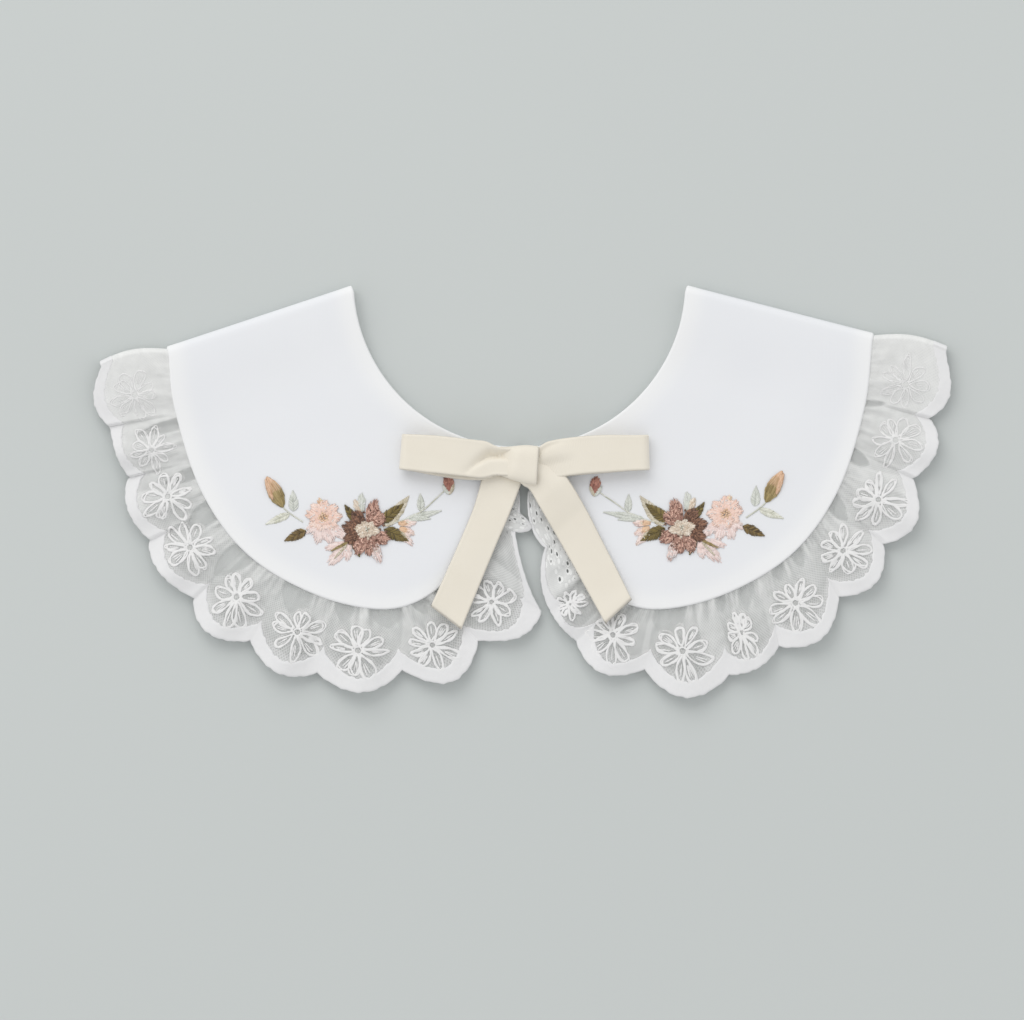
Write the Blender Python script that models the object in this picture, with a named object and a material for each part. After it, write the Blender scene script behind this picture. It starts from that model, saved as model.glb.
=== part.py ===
"""An embroidered cotton collar for a small child, laid flat with its back halves folded under.

The collar has two mirrored sides. A side is one cotton panel, doubled under at the shoulder, with a
gathered lace ruffle sewn round its outer edge and doubled under with it. A ribbon bow sits where the two
sides meet below the neck. X runs across the collar, Y towards the shoulders and Z up from the table.

Places on a side are given in millimetres from the neck's centre: across is away from the centre line and
along is towards the shoulders. The same tables serve both sides, mirrored for the left one.
"""

import math
from collections import namedtuple

import bpy
import numpy as np

MM = 0.001

# Where the neck's centre lies in the part's frame, whose origin is below the middle of the whole collar
CENTRE_LINE_X = -0.73
NECK_CENTRE_Y = 56.77

# Cloth
PANEL_WALL = 1.2
LACE_WALL = 1.0
RIBBON_WALL = 1.0
RIBBON_WIDTH = 10.2
SEAM_GAP = 0.4
FOLD_SEAM_EXTRA = 0.15

# The panel's neck edge is an arc, from just beside the centre line up to the shoulder fold
NECK_RADIUS = 44.8
CENTRE_GAP = 0.35
FOLD_LINE_DROP = 3.1

# How the layers lie: the back rests on the table and the front lies on it, springing up at the fold
LAYER_GAP = 0.4
FOLD_RADIUS = 1.5
FOLD_SPRING_LENGTH = 24.0
UNDER_INSET = 0.8
FOLD_LIFT = 0.02

# The ruffle's heights over the table, measured to the middle of its wall
LACE_REST = 0.5
GATHER_HEIGHT = 0.35
GATHERS_PER_SCALLOP = 2
UNDER_LACE_REACH = 0.93
FOLD_LINE_BOW = 1.6
BULGE_FULLNESS = 0.8

# Mesh density
PANEL_COLUMNS = 40
PANEL_ROWS = 5
LACE_STEPS_PER_SCALLOP = 10
UNDER_STEPS_PER_SCALLOP = 4
LACE_ROWS = 6
FOLD_STEPS = 5
EDGE_SAMPLES = 600

EdgePoint = namedtuple("EdgePoint", "across along")
Notch = namedtuple("Notch", "root across along rise peak height crest")
RibbonPoint = namedtuple("RibbonPoint", "x y z")
FlatPoint = namedtuple("FlatPoint", "x y")
KnotEnd = namedtuple("KnotEnd", "x middle width")

# The panel's outer edge, from the centre front round to the shoulder; the last point is the shoulder's own
PANEL_EDGE = (
    EdgePoint(0.6, -45.6),
    EdgePoint(8.8, -62.0),
    EdgePoint(15.5, -74.6),
    EdgePoint(23.6, -84.3),
    EdgePoint(36.5, -88.7),
    EdgePoint(55.0, -84.8),
    EdgePoint(73.6, -73.8),
    EdgePoint(86.0, -56.8),
    EdgePoint(93.2, -34.5),
)
SHOULDER_POINT = {"left": EdgePoint(94.8, -19.7), "right": EdgePoint(95.3, -16.1)}

# The ruffle's notches, from the shoulder to the centre front. root is the distance along the panel's edge
# from the shoulder. rise and peak shape the scallop that follows the notch: how far it bulges past the line
# between its two notches, and where. height is the notch's own, and crest is how far the scallop's middle
# stands over its notches.
LACE_NOTCHES = {
    "left": (
        Notch(0.0, 112.9, -23.2, 3.2, 0.55, 3.6, 0.4),
        Notch(16.5, 110.8, -39.2, 1.0, 0.60, 2.8, 2.2),
        Notch(30.0, 105.4, -52.9, 3.1, 0.45, 2.6, 1.6),
        Notch(44.0, 99.8, -69.9, 3.2, 0.42, 2.9, 2.4),
        Notch(58.0, 87.9, -85.6, 5.2, 0.45, 2.6, 1.8),
        Notch(72.0, 72.8, -97.1, 4.6, 0.52, 2.8, 2.2),
        Notch(87.0, 54.7, -105.8, 5.7, 0.52, 2.6, 2.4),
        Notch(102.0, 31.7, -105.0, 7.8, 0.53, 2.8, 1.8),
        Notch(114.0, 11.2, -97.2, 4.5, 0.53, 2.5, 1.4),
        Notch(125.0, -6.0, -89.1, -1.2, 0.45, 2.3, 0.3),
        Notch(137.5, 1.1, -68.6, 2.0, 0.35, 2.2, 0.1),
        Notch(153.0, -0.7, -56.6, 0.0, 0.50, 2.2, 0.0),
    ),
    "right": (
        Notch(0.0, 115.1, -19.1, 3.9, 0.60, 3.6, 0.6),
        Notch(16.5, 110.6, -37.0, 4.2, 0.45, 2.6, 2.0),
        Notch(30.0, 106.4, -53.2, 5.6, 0.55, 2.8, 2.4),
        Notch(44.0, 98.3, -71.0, 5.2, 0.50, 2.7, 1.8),
        Notch(58.0, 86.3, -85.2, 5.7, 0.52, 2.6, 2.4),
        Notch(72.0, 70.1, -98.6, 2.2, 0.50, 2.9, 2.6),
        Notch(87.0, 56.6, -106.4, 6.9, 0.50, 2.6, 1.8),
        Notch(102.0, 33.8, -104.8, 5.4, 0.52, 2.7, 2.0),
        Notch(114.0, 15.3, -97.2, 0.7, 0.50, 2.5, 1.2),
        Notch(125.0, 8.1, -88.8, 1.8, 0.50, 2.3, 0.4),
        Notch(137.5, 6.9, -72.4, 2.1, 0.45, 2.2, 0.1),
        Notch(153.0, 2.6, -56.6, 0.0, 0.50, 2.2, 0.0),
    ),
}

# The bow's knot is a band round both loops; its left end is narrower than its right end
KNOT_ENDS = (KnotEnd(-6.1, -49.3, 9.6), KnotEnd(4.9, -50.1, 11.0))
KNOT_MIDDLE_HEIGHT = 5.6
KNOT_HEIGHT = 5.0
KNOT_CORNER = 1.3

# The middle line of each loop, from inside the knot out to its far end
LOOP_ROUTE = {
    "left": (
        RibbonPoint(-1.2, -49.5, 5.6),
        RibbonPoint(-6.4, -49.2, 5.6),
        RibbonPoint(-13.0, -47.8, 5.5),
        RibbonPoint(-22.0, -46.6, 5.3),
        RibbonPoint(-31.9, -45.7, 5.2),
    ),
    "right": (
        RibbonPoint(0.0, -49.8, 5.6),
        RibbonPoint(5.2, -49.5, 5.6),
        RibbonPoint(12.2, -47.7, 5.5),
        RibbonPoint(22.0, -46.6, 5.3),
        RibbonPoint(35.3, -46.4, 5.2),
    ),
}
LOOP_PINCH = 0.6
LOOP_PINCHED_OPENING = 1.3
LOOP_OPENING = 3.0

# The two edges of each tail, from the knot to the slanted cut, and the height of its middle on the way
TAIL_EDGES = {
    "left": (
        (
            FlatPoint(-9.4, -54.1),
            FlatPoint(-12.4, -60.2),
            FlatPoint(-14.6, -65.6),
            FlatPoint(-20.2, -79.0),
            FlatPoint(-24.0, -87.8),
        ),
        (
            FlatPoint(0.7, -55.8),
            FlatPoint(-2.2, -61.8),
            FlatPoint(-6.4, -71.6),
            FlatPoint(-11.2, -83.2),
            FlatPoint(-15.7, -94.1),
        ),
    ),
    "right": (
        (
            FlatPoint(2.5, -56.5),
            FlatPoint(7.4, -63.7),
            FlatPoint(12.6, -73.2),
            FlatPoint(18.4, -84.6),
            FlatPoint(23.2, -92.8),
        ),
        (
            FlatPoint(12.0, -54.4),
            FlatPoint(17.6, -61.4),
            FlatPoint(21.9, -69.6),
            FlatPoint(26.6, -78.4),
            FlatPoint(30.3, -86.0),
        ),
    ),
}
TAIL_HEIGHTS = {"left": (3.75, 4.0, 4.05, 4.1, 4.25, 4.45), "right": (3.75, 3.95, 4.0, 4.0, 4.1, 4.2)}

SIDE_SIGN = {"left": -1.0, "right": 1.0}


# Curves and small helpers


def through(points, count):
    """Return count points, evenly spaced, on a smooth curve through the given ones (a Catmull-Rom spline)."""
    given = np.array(points, float)
    padded = np.vstack([2 * given[0] - given[1], given, 2 * given[-1] - given[-2]])
    steps = np.linspace(0.0, 1.0, 40, endpoint=False)[:, None]
    spans = []
    for i in range(1, len(padded) - 2):
        before, start, end, after = padded[i - 1 : i + 3]
        spans.append(
            0.5
            * (
                2 * start
                + (end - before) * steps
                + (2 * before - 5 * start + 4 * end - after) * steps**2
                + (3 * start - before - 3 * end + after) * steps**3
            )
        )
    fine = np.vstack([*spans, given[-1:]])
    return spread_evenly(fine, count)


def spread_evenly(points, count):
    """Return count points at equal distances along a line of many points."""
    along = distances(points)
    wanted = np.linspace(0.0, along[-1], count)
    return np.stack([np.interp(wanted, along, points[:, k]) for k in range(points.shape[1])], axis=1)


def distances(points):
    """Return how far along the line each of its points lies."""
    return np.concatenate([[0.0], np.cumsum(np.linalg.norm(np.diff(points, axis=0), axis=1))])


def at_distance(points, wanted):
    """Return the points that lie at the wanted distances along a line of many points."""
    along = distances(points)
    return np.stack([np.interp(wanted, along, points[:, k]) for k in range(points.shape[1])], axis=-1)


def unit(vectors):
    """Return the vectors at length one."""
    return vectors / np.linalg.norm(vectors, axis=-1, keepdims=True)


def smooth_step(value):
    """Return 0 below 0, 1 above 1, and a smooth rise between."""
    held = np.clip(value, 0.0, 1.0)
    return held * held * (3.0 - 2.0 * held)


# The outlines of one side, in millimetres from the neck's centre


def panel_edge(side):
    """Return the panel's outer edge, from the shoulder round to the centre front."""
    return through([*PANEL_EDGE, SHOULDER_POINT[side]], EDGE_SAMPLES)[::-1]


def neck_edge(count):
    """Return the panel's neck edge, from the shoulder to the centre front."""
    shoulder = -math.asin(FOLD_LINE_DROP / NECK_RADIUS)
    centre = -math.acos(CENTRE_GAP / NECK_RADIUS)
    angle = np.linspace(shoulder, centre, count)
    return NECK_RADIUS * np.stack([np.cos(angle), np.sin(angle)], axis=1)


def fold_direction(side):
    """Return the unit vector across the shoulder fold, pointing out of the collar."""
    neck = neck_edge(2)[0]
    corner = np.array(SHOULDER_POINT[side])
    run = unit(corner - neck)
    return np.array([-run[1], run[0]])


def upper_panel_height(from_fold):
    """Return the height of the front layer's middle, from its distance to the shoulder fold."""
    resting = 1.5 * PANEL_WALL + LAYER_GAP
    sprung = 0.5 * PANEL_WALL + 2.0 * FOLD_RADIUS
    return resting + (sprung - resting) * (1.0 - smooth_step(from_fold / FOLD_SPRING_LENGTH))


def turn_under(upper, lower, outwards):
    """Return the columns that carry a sheet from its upper layer round the fold to its lower one.

    upper and lower are the two ends' rows of points, one above the other. The sheet follows half circles
    that stand on the line between them and bulge outwards.
    """
    middle = 0.5 * (upper + lower)
    radius = 0.5 * (upper[:, 2] - lower[:, 2])
    columns = []
    for angle in np.linspace(0.0, math.pi, FOLD_STEPS + 2)[1:-1]:
        column = middle.copy()
        column[:, :2] += np.outer(radius * math.sin(angle), outwards)
        column[:, 2] += radius * math.cos(angle)
        columns.append(column)
    return np.array(columns)


def panel_sheet(side):
    """Return the grid of one panel: its front layer, the shoulder fold and its back layer."""
    across = np.linspace(0.0, 1.0, PANEL_ROWS + 1)[None, :, None]
    outer = spread_evenly(panel_edge(side), PANEL_COLUMNS + 1)[:, None, :]
    neck = neck_edge(PANEL_COLUMNS + 1)[:, None, :]
    flat = neck + (outer - neck) * across
    from_fold = np.linalg.norm(flat - flat[:1], axis=2)
    front = np.dstack([flat, upper_panel_height(from_fold)])

    middle = flat.mean(axis=(0, 1))
    inset = UNDER_INSET * smooth_step(from_fold / FOLD_SPRING_LENGTH)
    pulled = flat - unit(flat - middle) * inset[..., None]
    back = np.dstack([pulled, np.full(pulled.shape[:2], 0.5 * PANEL_WALL)])
    back[0, :, 2] += FOLD_LIFT

    turn = turn_under(front[0], back[0], fold_direction(side))
    return np.concatenate([front[::-1], turn, back])


# The ruffle of one side


def notch_columns(side):
    """Return the notch table of a side as one array for each named column."""
    return {name: np.array([getattr(n, name) for n in LACE_NOTCHES[side]]) for name in Notch._fields}


def lace_sheet_at(side, along, reach):
    """Return the ruffle's points.

    along counts scallops from the shoulder, and reach runs from 0 at the seam to 1 at the scalloped border.
    A point lies on the line from the seam to the border. The border bulges between its notches.
    """
    notches = notch_columns(side)
    count = len(notches["root"]) - 1
    scallop = np.clip(np.floor(along).astype(int), 0, count - 1)
    part = along - scallop

    edge = panel_edge(side)
    root_distance = np.interp(along, np.arange(count + 1), notches["root"])
    root = at_distance(edge, root_distance)
    ahead = at_distance(edge, root_distance + 0.5)
    behind = at_distance(edge, np.maximum(root_distance - 0.5, 0.0))
    tangent = unit(ahead - behind)
    fold_share = 1.0 - smooth_step(along / 0.8)
    gap = SEAM_GAP + FOLD_SEAM_EXTRA * fold_share
    root = root + gap[..., None] * np.stack([-tangent[..., 1], tangent[..., 0]], axis=-1)

    corners = np.stack([notches["across"], notches["along"]], axis=1)
    chord = corners[scallop + 1] - corners[scallop]
    straight = corners[scallop] + chord * part[..., None]
    outwards = unit(np.stack([-chord[..., 1], chord[..., 0]], axis=-1))
    skew = np.log(0.5) / np.log(notches["peak"][scallop])
    bulge = notches["rise"][scallop] * np.sin(math.pi * np.clip(part, 0.0, 1.0) ** skew) ** BULGE_FULLNESS

    bow = FOLD_LINE_BOW * np.sin(math.pi * reach) * fold_share
    flat = root + (straight - root) * reach[..., None]
    flat = flat + outwards * (bulge * reach**3)[..., None] + fold_direction(side) * bow[..., None]

    crest = notches["crest"][scallop] * np.sin(math.pi * part) ** 2
    border = np.interp(along, np.arange(count + 1), notches["height"]) + crest
    from_fold = np.linalg.norm(root - root[:1, :1], axis=-1)
    seam = upper_panel_height(from_fold)
    blend = smooth_step(reach)
    gathers = GATHER_HEIGHT * np.sin(2.0 * math.pi * GATHERS_PER_SCALLOP * along) * np.sin(math.pi * reach)
    height = seam + (border - seam) * blend + gathers * (1.0 - fold_share)
    return np.dstack([flat, height])


def lace_sheet(side):
    """Return the grid of one ruffle: its front layer, the turn at the shoulder and its back layer."""
    scallops = len(LACE_NOTCHES[side]) - 1
    reach = np.linspace(0.0, 1.0, LACE_ROWS + 1)
    along, over = np.meshgrid(
        np.linspace(0.0, scallops, scallops * LACE_STEPS_PER_SCALLOP + 1), reach, indexing="ij"
    )
    front = lace_sheet_at(side, along, over)

    along, over = np.meshgrid(
        np.linspace(0.0, scallops, scallops * UNDER_STEPS_PER_SCALLOP + 1), reach, indexing="ij"
    )
    shortened = over * (1.0 - (1.0 - UNDER_LACE_REACH) * smooth_step(along / 0.8))
    back = lace_sheet_at(side, along, shortened)
    back[..., 2] = LACE_REST
    back[0, :, 2] += FOLD_LIFT
    turn = turn_under(front[0], back[0], fold_direction(side))
    return np.concatenate([front[::-1], turn, back])


# The bow


def loop_sheet(side):
    """Return the grid of one bow loop: out from the knot along its lower layer, round and back on top."""
    route = through(LOOP_ROUTE[side], EDGE_SAMPLES)
    length = distances(route)[-1]
    turn_radius = 0.5 * LOOP_OPENING
    straight = np.linspace(0.0, length - turn_radius, 9)
    open_share = smooth_step((straight - 5.0) / 13.0)
    half = 0.5 * (LOOP_PINCHED_OPENING + (LOOP_OPENING - LOOP_PINCHED_OPENING) * open_share)
    angles = np.linspace(-0.5 * math.pi, 0.5 * math.pi, 7)[1:-1]
    out = np.concatenate([straight, length - turn_radius * (1.0 - np.cos(angles)), straight[::-1]])
    lift = np.concatenate([-half, turn_radius * np.sin(angles), half[::-1]])

    middle = at_distance(route, out)
    heading = unit((at_distance(route, out + 0.2) - at_distance(route, out - 0.2))[:, :2])
    broad = np.stack([-heading[:, 1], heading[:, 0]], axis=1)
    width = RIBBON_WIDTH * (LOOP_PINCH + (1.0 - LOOP_PINCH) * smooth_step((out - 5.0) / 7.0))
    over = np.linspace(-0.5, 0.5, 5)
    plan = middle[:, None, :2] + broad[:, None, :] * (width[:, None] * over)[..., None]
    height = np.repeat((middle[:, 2] + lift)[:, None], len(over), axis=1)
    return np.dstack([plan, height])


def rounded_ring(width, height, corner, steps):
    """Return the points round a rectangle with round corners, in its own plane."""
    points = []
    for quarter, (side_x, side_z) in enumerate(((1, 1), (-1, 1), (-1, -1), (1, -1))):
        for angle in np.linspace(0.0, 0.5 * math.pi, steps):
            turned = angle + 0.5 * math.pi * quarter
            points.append(
                (
                    side_x * (0.5 * width - corner) + corner * math.cos(turned),
                    side_z * (0.5 * height - corner) + corner * math.sin(turned),
                )
            )
    return np.array(points)


def knot_sheet():
    """Return the grid of the knot: a band round the middle of the bow, open towards both loops."""
    start, end = KNOT_ENDS
    rings = []
    for share in np.linspace(0.0, 1.0, 5):
        middle = start.middle + (end.middle - start.middle) * share
        width = start.width + (end.width - start.width) * share
        ring = rounded_ring(width - RIBBON_WALL, KNOT_HEIGHT - RIBBON_WALL, KNOT_CORNER - 0.5 * RIBBON_WALL, 5)
        x = start.x + (end.x - start.x) * share
        rings.append(np.column_stack([np.full(len(ring), x), middle + ring[:, 0], KNOT_MIDDLE_HEIGHT + ring[:, 1]]))
    return np.stack(rings, axis=1)


def tail_sheet(side):
    """Return the grid of one tail: a flat ribbon down from the knot, cut at a slant."""
    steps = 12
    first, second = (through(edge, steps) for edge in TAIL_EDGES[side])
    over = np.linspace(0.0, 1.0, 5)[None, :, None]
    plan = first[:, None, :] + (second - first)[:, None, :] * over
    heights = TAIL_HEIGHTS[side]
    middle = np.interp(np.linspace(0.0, 1.0, steps), np.linspace(0.0, 1.0, len(heights)), heights)
    return np.dstack([plan, np.repeat(middle[:, None], plan.shape[1], axis=1)])


# Building the objects


def cloth_material(name, colour, roughness):
    """Return a plain cloth material."""
    material = bpy.data.materials.new(name)
    material.use_nodes = True
    shader = material.node_tree.nodes["Principled BSDF"]
    shader.inputs["Base Color"].default_value = (*colour, 1.0)
    shader.inputs["Roughness"].default_value = roughness
    shader.inputs["Metallic"].default_value = 0.0
    return material


def cloth_object(name, sheet, wall, material, closed=False):
    """Make one cloth solid: the sheet's grid as a mesh, given its wall by a Solidify modifier."""
    columns, rows = sheet.shape[:2]
    last = columns if closed else columns - 1
    faces = []
    for i in range(last):
        j = (i + 1) % columns
        for k in range(rows - 1):
            faces.append((i * rows + k, j * rows + k, j * rows + k + 1, i * rows + k + 1))
    mesh = bpy.data.meshes.new(name)
    mesh.from_pydata((sheet.reshape(-1, 3) * MM).tolist(), [], faces)
    mesh.validate()
    mesh.materials.append(material)
    mesh.shade_smooth()
    item = bpy.data.objects.new(name, mesh)
    bpy.context.scene.collection.objects.link(item)
    wall_maker = item.modifiers.new("wall", "SOLIDIFY")
    wall_maker.thickness = wall * MM
    wall_maker.offset = 0.0
    wall_maker.use_even_offset = True
    return item


def place_side(sheet, side):
    """Return a side's grid in the part's frame, mirrored for the left side with its faces kept outwards."""
    placed = sheet.copy()
    placed[..., 0] = CENTRE_LINE_X + SIDE_SIGN[side] * sheet[..., 0]
    placed[..., 1] = NECK_CENTRE_Y + sheet[..., 1]
    return placed if side == "right" else placed[::-1]


def place_bow(sheet):
    """Return a bow grid in the part's frame."""
    return sheet + np.array([CENTRE_LINE_X, NECK_CENTRE_Y, 0.0])


def clear_scene():
    """Remove every object that the file opened with."""
    for item in list(bpy.data.objects):
        bpy.data.objects.remove(item)


def main():
    """Build the collar."""
    clear_scene()
    cotton = cloth_material("white_cotton", (0.86, 0.87, 0.89), 0.85)
    lace = cloth_material("white_lace", (0.84, 0.84, 0.84), 0.8)
    ribbon = cloth_material("cream_ribbon", (0.82, 0.77, 0.66), 0.7)
    for side in ("left", "right"):
        cloth_object(f"panel_{side}", place_side(panel_sheet(side), side), PANEL_WALL, cotton)
        cloth_object(f"ruffle_{side}", place_side(lace_sheet(side), side), LACE_WALL, lace)
        cloth_object(f"bow_loop_{side}", place_bow(loop_sheet(side)), RIBBON_WALL, ribbon)
        cloth_object(f"bow_tail_{side}", place_bow(tail_sheet(side)), RIBBON_WALL, ribbon)
    cloth_object("bow_knot", place_bow(knot_sheet()), RIBBON_WALL, ribbon, closed=True)


main()
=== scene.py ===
"""Looks of a small embroidered cotton collar with a gathered lace ruffle and a ribbon bow.

The collar lies flat, its back halves folded under at the shoulders. Places on a side are in millimetres from
the neck's centre: across is away from the centre line, along is towards the shoulders, and height is over the
table. The same functions serve both sides, mirrored for the left one, and to_frame() brings them to metres.
"""

from __future__ import annotations

import logging
import math
from dataclasses import dataclass, field
from enum import Enum
from typing import Callable, NamedTuple

import bmesh
import bpy
import numpy as np
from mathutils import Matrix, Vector


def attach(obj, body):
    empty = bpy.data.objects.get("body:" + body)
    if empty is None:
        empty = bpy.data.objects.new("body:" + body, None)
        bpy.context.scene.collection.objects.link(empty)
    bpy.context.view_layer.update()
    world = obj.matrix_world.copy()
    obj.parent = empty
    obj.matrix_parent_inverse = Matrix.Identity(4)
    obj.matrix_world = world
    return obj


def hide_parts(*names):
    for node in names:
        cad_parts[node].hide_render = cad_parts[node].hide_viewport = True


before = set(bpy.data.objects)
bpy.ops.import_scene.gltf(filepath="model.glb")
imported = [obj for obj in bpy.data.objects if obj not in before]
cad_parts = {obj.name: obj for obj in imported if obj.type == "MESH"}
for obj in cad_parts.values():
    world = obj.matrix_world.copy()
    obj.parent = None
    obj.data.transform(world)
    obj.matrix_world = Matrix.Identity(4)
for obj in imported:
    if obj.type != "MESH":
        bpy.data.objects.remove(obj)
log = logging.getLogger("collar")

MM = 0.001
CENTRE_LINE_X = -0.73
NECK_CENTRE_Y = 56.77
TAU = 2.0 * math.pi
GOLDEN_ANGLE = 2.39996
Surface = Callable[[np.ndarray, np.ndarray], np.ndarray]


class Side(Enum):
    """The two sides of the collar, with the way that across runs in the frame."""

    LEFT = -1.0
    RIGHT = 1.0

    @property
    def label(self) -> str:
        """Return the side's name as the nodes write it."""
        return self.name.lower()


# Arrays and curves


def smooth_step(value: np.ndarray) -> np.ndarray:
    """Return 0 below 0, 1 above 1 and 3v^2 - 2v^3 between."""
    held = np.clip(value, 0.0, 1.0)
    return held * held * (3.0 - 2.0 * held)


def unit(vectors: np.ndarray) -> np.ndarray:
    """Return the vectors at length one."""
    return vectors / np.maximum(np.linalg.norm(vectors, axis=-1, keepdims=True), 1e-12)


def quarter_turn(directions: np.ndarray) -> np.ndarray:
    """Return plan directions turned a quarter to the left."""
    return np.stack([-directions[..., 1], directions[..., 0]], axis=-1)


def on_circle(angle: np.ndarray) -> np.ndarray:
    """Return the plan points (cos a, sin a)."""
    return np.stack([np.cos(angle), np.sin(angle)], axis=-1)


def turned_by(x: np.ndarray, y: np.ndarray, angle: np.ndarray) -> np.ndarray:
    """Return the plan points (x cos a - y sin a, x sin a + y cos a)."""
    return np.stack([x * np.cos(angle) - y * np.sin(angle), x * np.sin(angle) + y * np.cos(angle)], axis=-1)


def distances(points: np.ndarray) -> np.ndarray:
    """Return how far along the line each of its points lies."""
    return np.concatenate([[0.0], np.cumsum(np.linalg.norm(np.diff(points, axis=0), axis=1))])


def at_distance(points: np.ndarray, wanted: np.ndarray) -> np.ndarray:
    """Return the points at the wanted distances along a line of many points."""
    along = distances(points)
    return np.stack([np.interp(wanted, along, points[:, k]) for k in range(points.shape[1])], axis=-1)


def through(points: object, count: int) -> np.ndarray:
    """Return count evenly spaced points on a Catmull-Rom spline through the given ones.

    Between b and c, with neighbours a and d, the spline is
    (2b + (c - a)t + (2a - 5b + 4c - d)t^2 + (3b - 3c + d - a)t^3) / 2.

    Args:
        points: the given points.
        count: how many points come back.

    Returns:
        The points, one a row.
    """
    given = np.array(points, float)
    padded = np.vstack([2 * given[0] - given[1], given, 2 * given[-1] - given[-2]])
    t = np.linspace(0.0, 1.0, 24, endpoint=False)[:, None]
    spans = [
        0.5 * (2 * b + (c - a) * t + (2 * a - 5 * b + 4 * c - d) * t**2 + (3 * b - a - 3 * c + d) * t**3)
        for a, b, c, d in zip(padded[:-3], padded[1:-2], padded[2:-1], padded[3:])
    ]
    fine = np.vstack([*spans, given[-1:]])
    return at_distance(fine, np.linspace(0.0, distances(fine)[-1], count))


def grid_normals(grid: np.ndarray) -> np.ndarray:
    """Return the unit normals of a grid of points: the cross product of its two directions."""
    return unit(np.cross(np.gradient(grid, axis=0), np.gradient(grid, axis=1)))


def from_srgb(red: float, green: float, blue: float) -> tuple[float, float, float]:
    """Return a linear colour from one given in steps of 0 to 255."""
    given = np.array([red, green, blue]) / 255.0
    linear = np.where(given <= 0.04045, given / 12.92, ((given + 0.055) / 1.055) ** 2.4)
    return tuple(float(v) for v in linear)


def to_frame(points: np.ndarray, side: Side = Side.RIGHT) -> np.ndarray:
    """Return points in metres in the part's frame, from millimetres on a side."""
    placed = np.array(points, float)
    placed[..., 0] = CENTRE_LINE_X + side.value * points[..., 0]
    placed[..., 1] += NECK_CENTRE_Y
    return placed * MM


# Meshes


def grid_quads(columns: int, rows: int, ring: bool = False, loop: bool = False) -> np.ndarray:
    """Return the quads of a grid of points, numbered row by row within each column.

    Args:
        columns: how many columns the grid has.
        rows: how many rows it has.
        ring: whether the last row joins the first one.
        loop: whether the last column joins the first one.

    Returns:
        Four point numbers for each quad.
    """
    i, k = np.meshgrid(
        np.arange(columns if loop else columns - 1), np.arange(rows if ring else rows - 1), indexing="ij"
    )
    i, k = i.ravel(), k.ravel()
    j, m = (i + 1) % columns, (k + 1) % rows
    return np.stack([i * rows + k, j * rows + k, j * rows + m, i * rows + m], axis=1)


@dataclass
class MeshDraft:
    """Points, quads, pattern coordinates and colours that are gathered before they become one piece."""

    points: list[np.ndarray] = field(default_factory=list)
    quads: list[np.ndarray] = field(default_factory=list)
    pattern: list[np.ndarray] = field(default_factory=list)
    tint: list[np.ndarray] = field(default_factory=list)
    count: int = 0

    def add(
        self,
        points: np.ndarray,
        quads: np.ndarray,
        pattern: np.ndarray | None = None,
        tint: np.ndarray | None = None,
    ) -> None:
        """Add one surface.

        Args:
            points: its points, in any shape that ends in 3.
            quads: its quads, numbered from its own first point.
            pattern: two pattern coordinates for each point, in centimetres.
            tint: a colour for each point.
        """
        flat = points.reshape(-1, 3)
        self.points.append(flat)
        self.quads.append(quads + self.count)
        self.pattern.append(np.zeros((len(flat), 2)) if pattern is None else pattern.reshape(-1, 2))
        self.tint.append(np.ones((len(flat), 3)) if tint is None else tint.reshape(-1, 3))
        self.count += len(flat)

    def add_many(self, points: np.ndarray, quads: np.ndarray, tint: np.ndarray | None = None) -> None:
        """Add many surfaces of the same make.

        Args:
            points: their points, the first index counting surfaces.
            quads: the quads of one of them.
            tint: a colour for each of their points.
        """
        many = points.shape[0]
        each = int(np.prod(points.shape[1:-1]))
        every = (quads[None] + np.arange(many)[:, None, None] * each).reshape(-1, 4)
        self.add(points, every, None, tint)

    def build(
        self, name: str, side: Side, material: bpy.types.Material, merge: bool = False
    ) -> bpy.types.Object:
        """Make the piece, with its place in its mesh.

        Args:
            name: the piece's name.
            side: the side that its points are on.
            material: its finish.
            merge: whether points that coincide become one.

        Returns:
            The piece's object.
        """
        points = to_frame(np.concatenate(self.points), side)
        quads = np.concatenate(self.quads)
        if side is Side.LEFT:
            quads = quads[:, ::-1]
        mesh = bpy.data.meshes.new(name)
        mesh.vertices.add(len(points))
        mesh.vertices.foreach_set("co", points.ravel())
        mesh.loops.add(quads.size)
        mesh.loops.foreach_set("vertex_index", quads.ravel())
        mesh.polygons.add(len(quads))
        mesh.polygons.foreach_set("loop_start", np.arange(0, quads.size, 4))
        mesh.update(calc_edges=True)
        layer = mesh.uv_layers.new(name="pattern")
        layer.data.foreach_set("uv", np.concatenate(self.pattern)[quads.ravel()].ravel())
        colours = mesh.attributes.new("tint", "FLOAT_COLOR", "POINT")
        tint = np.concatenate(self.tint)
        colours.data.foreach_set("color", np.column_stack([tint, np.ones(len(tint))]).ravel())
        if merge:
            work = bmesh.new()
            work.from_mesh(mesh)
            bmesh.ops.remove_doubles(work, verts=work.verts, dist=2e-6)
            bmesh.ops.recalc_face_normals(work, faces=work.faces)
            work.to_mesh(mesh)
            work.free()
        mesh.shade_smooth()
        mesh.materials.append(material)
        item = bpy.data.objects.new(name, mesh)
        bpy.context.scene.collection.objects.link(item)
        return item


def both_faces(outer: np.ndarray, inner: np.ndarray) -> np.ndarray:
    """Return a ring for each column: out along one face's rows and back along the other's."""
    return np.concatenate([outer, inner[:, -2:0:-1]], axis=1)


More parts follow.
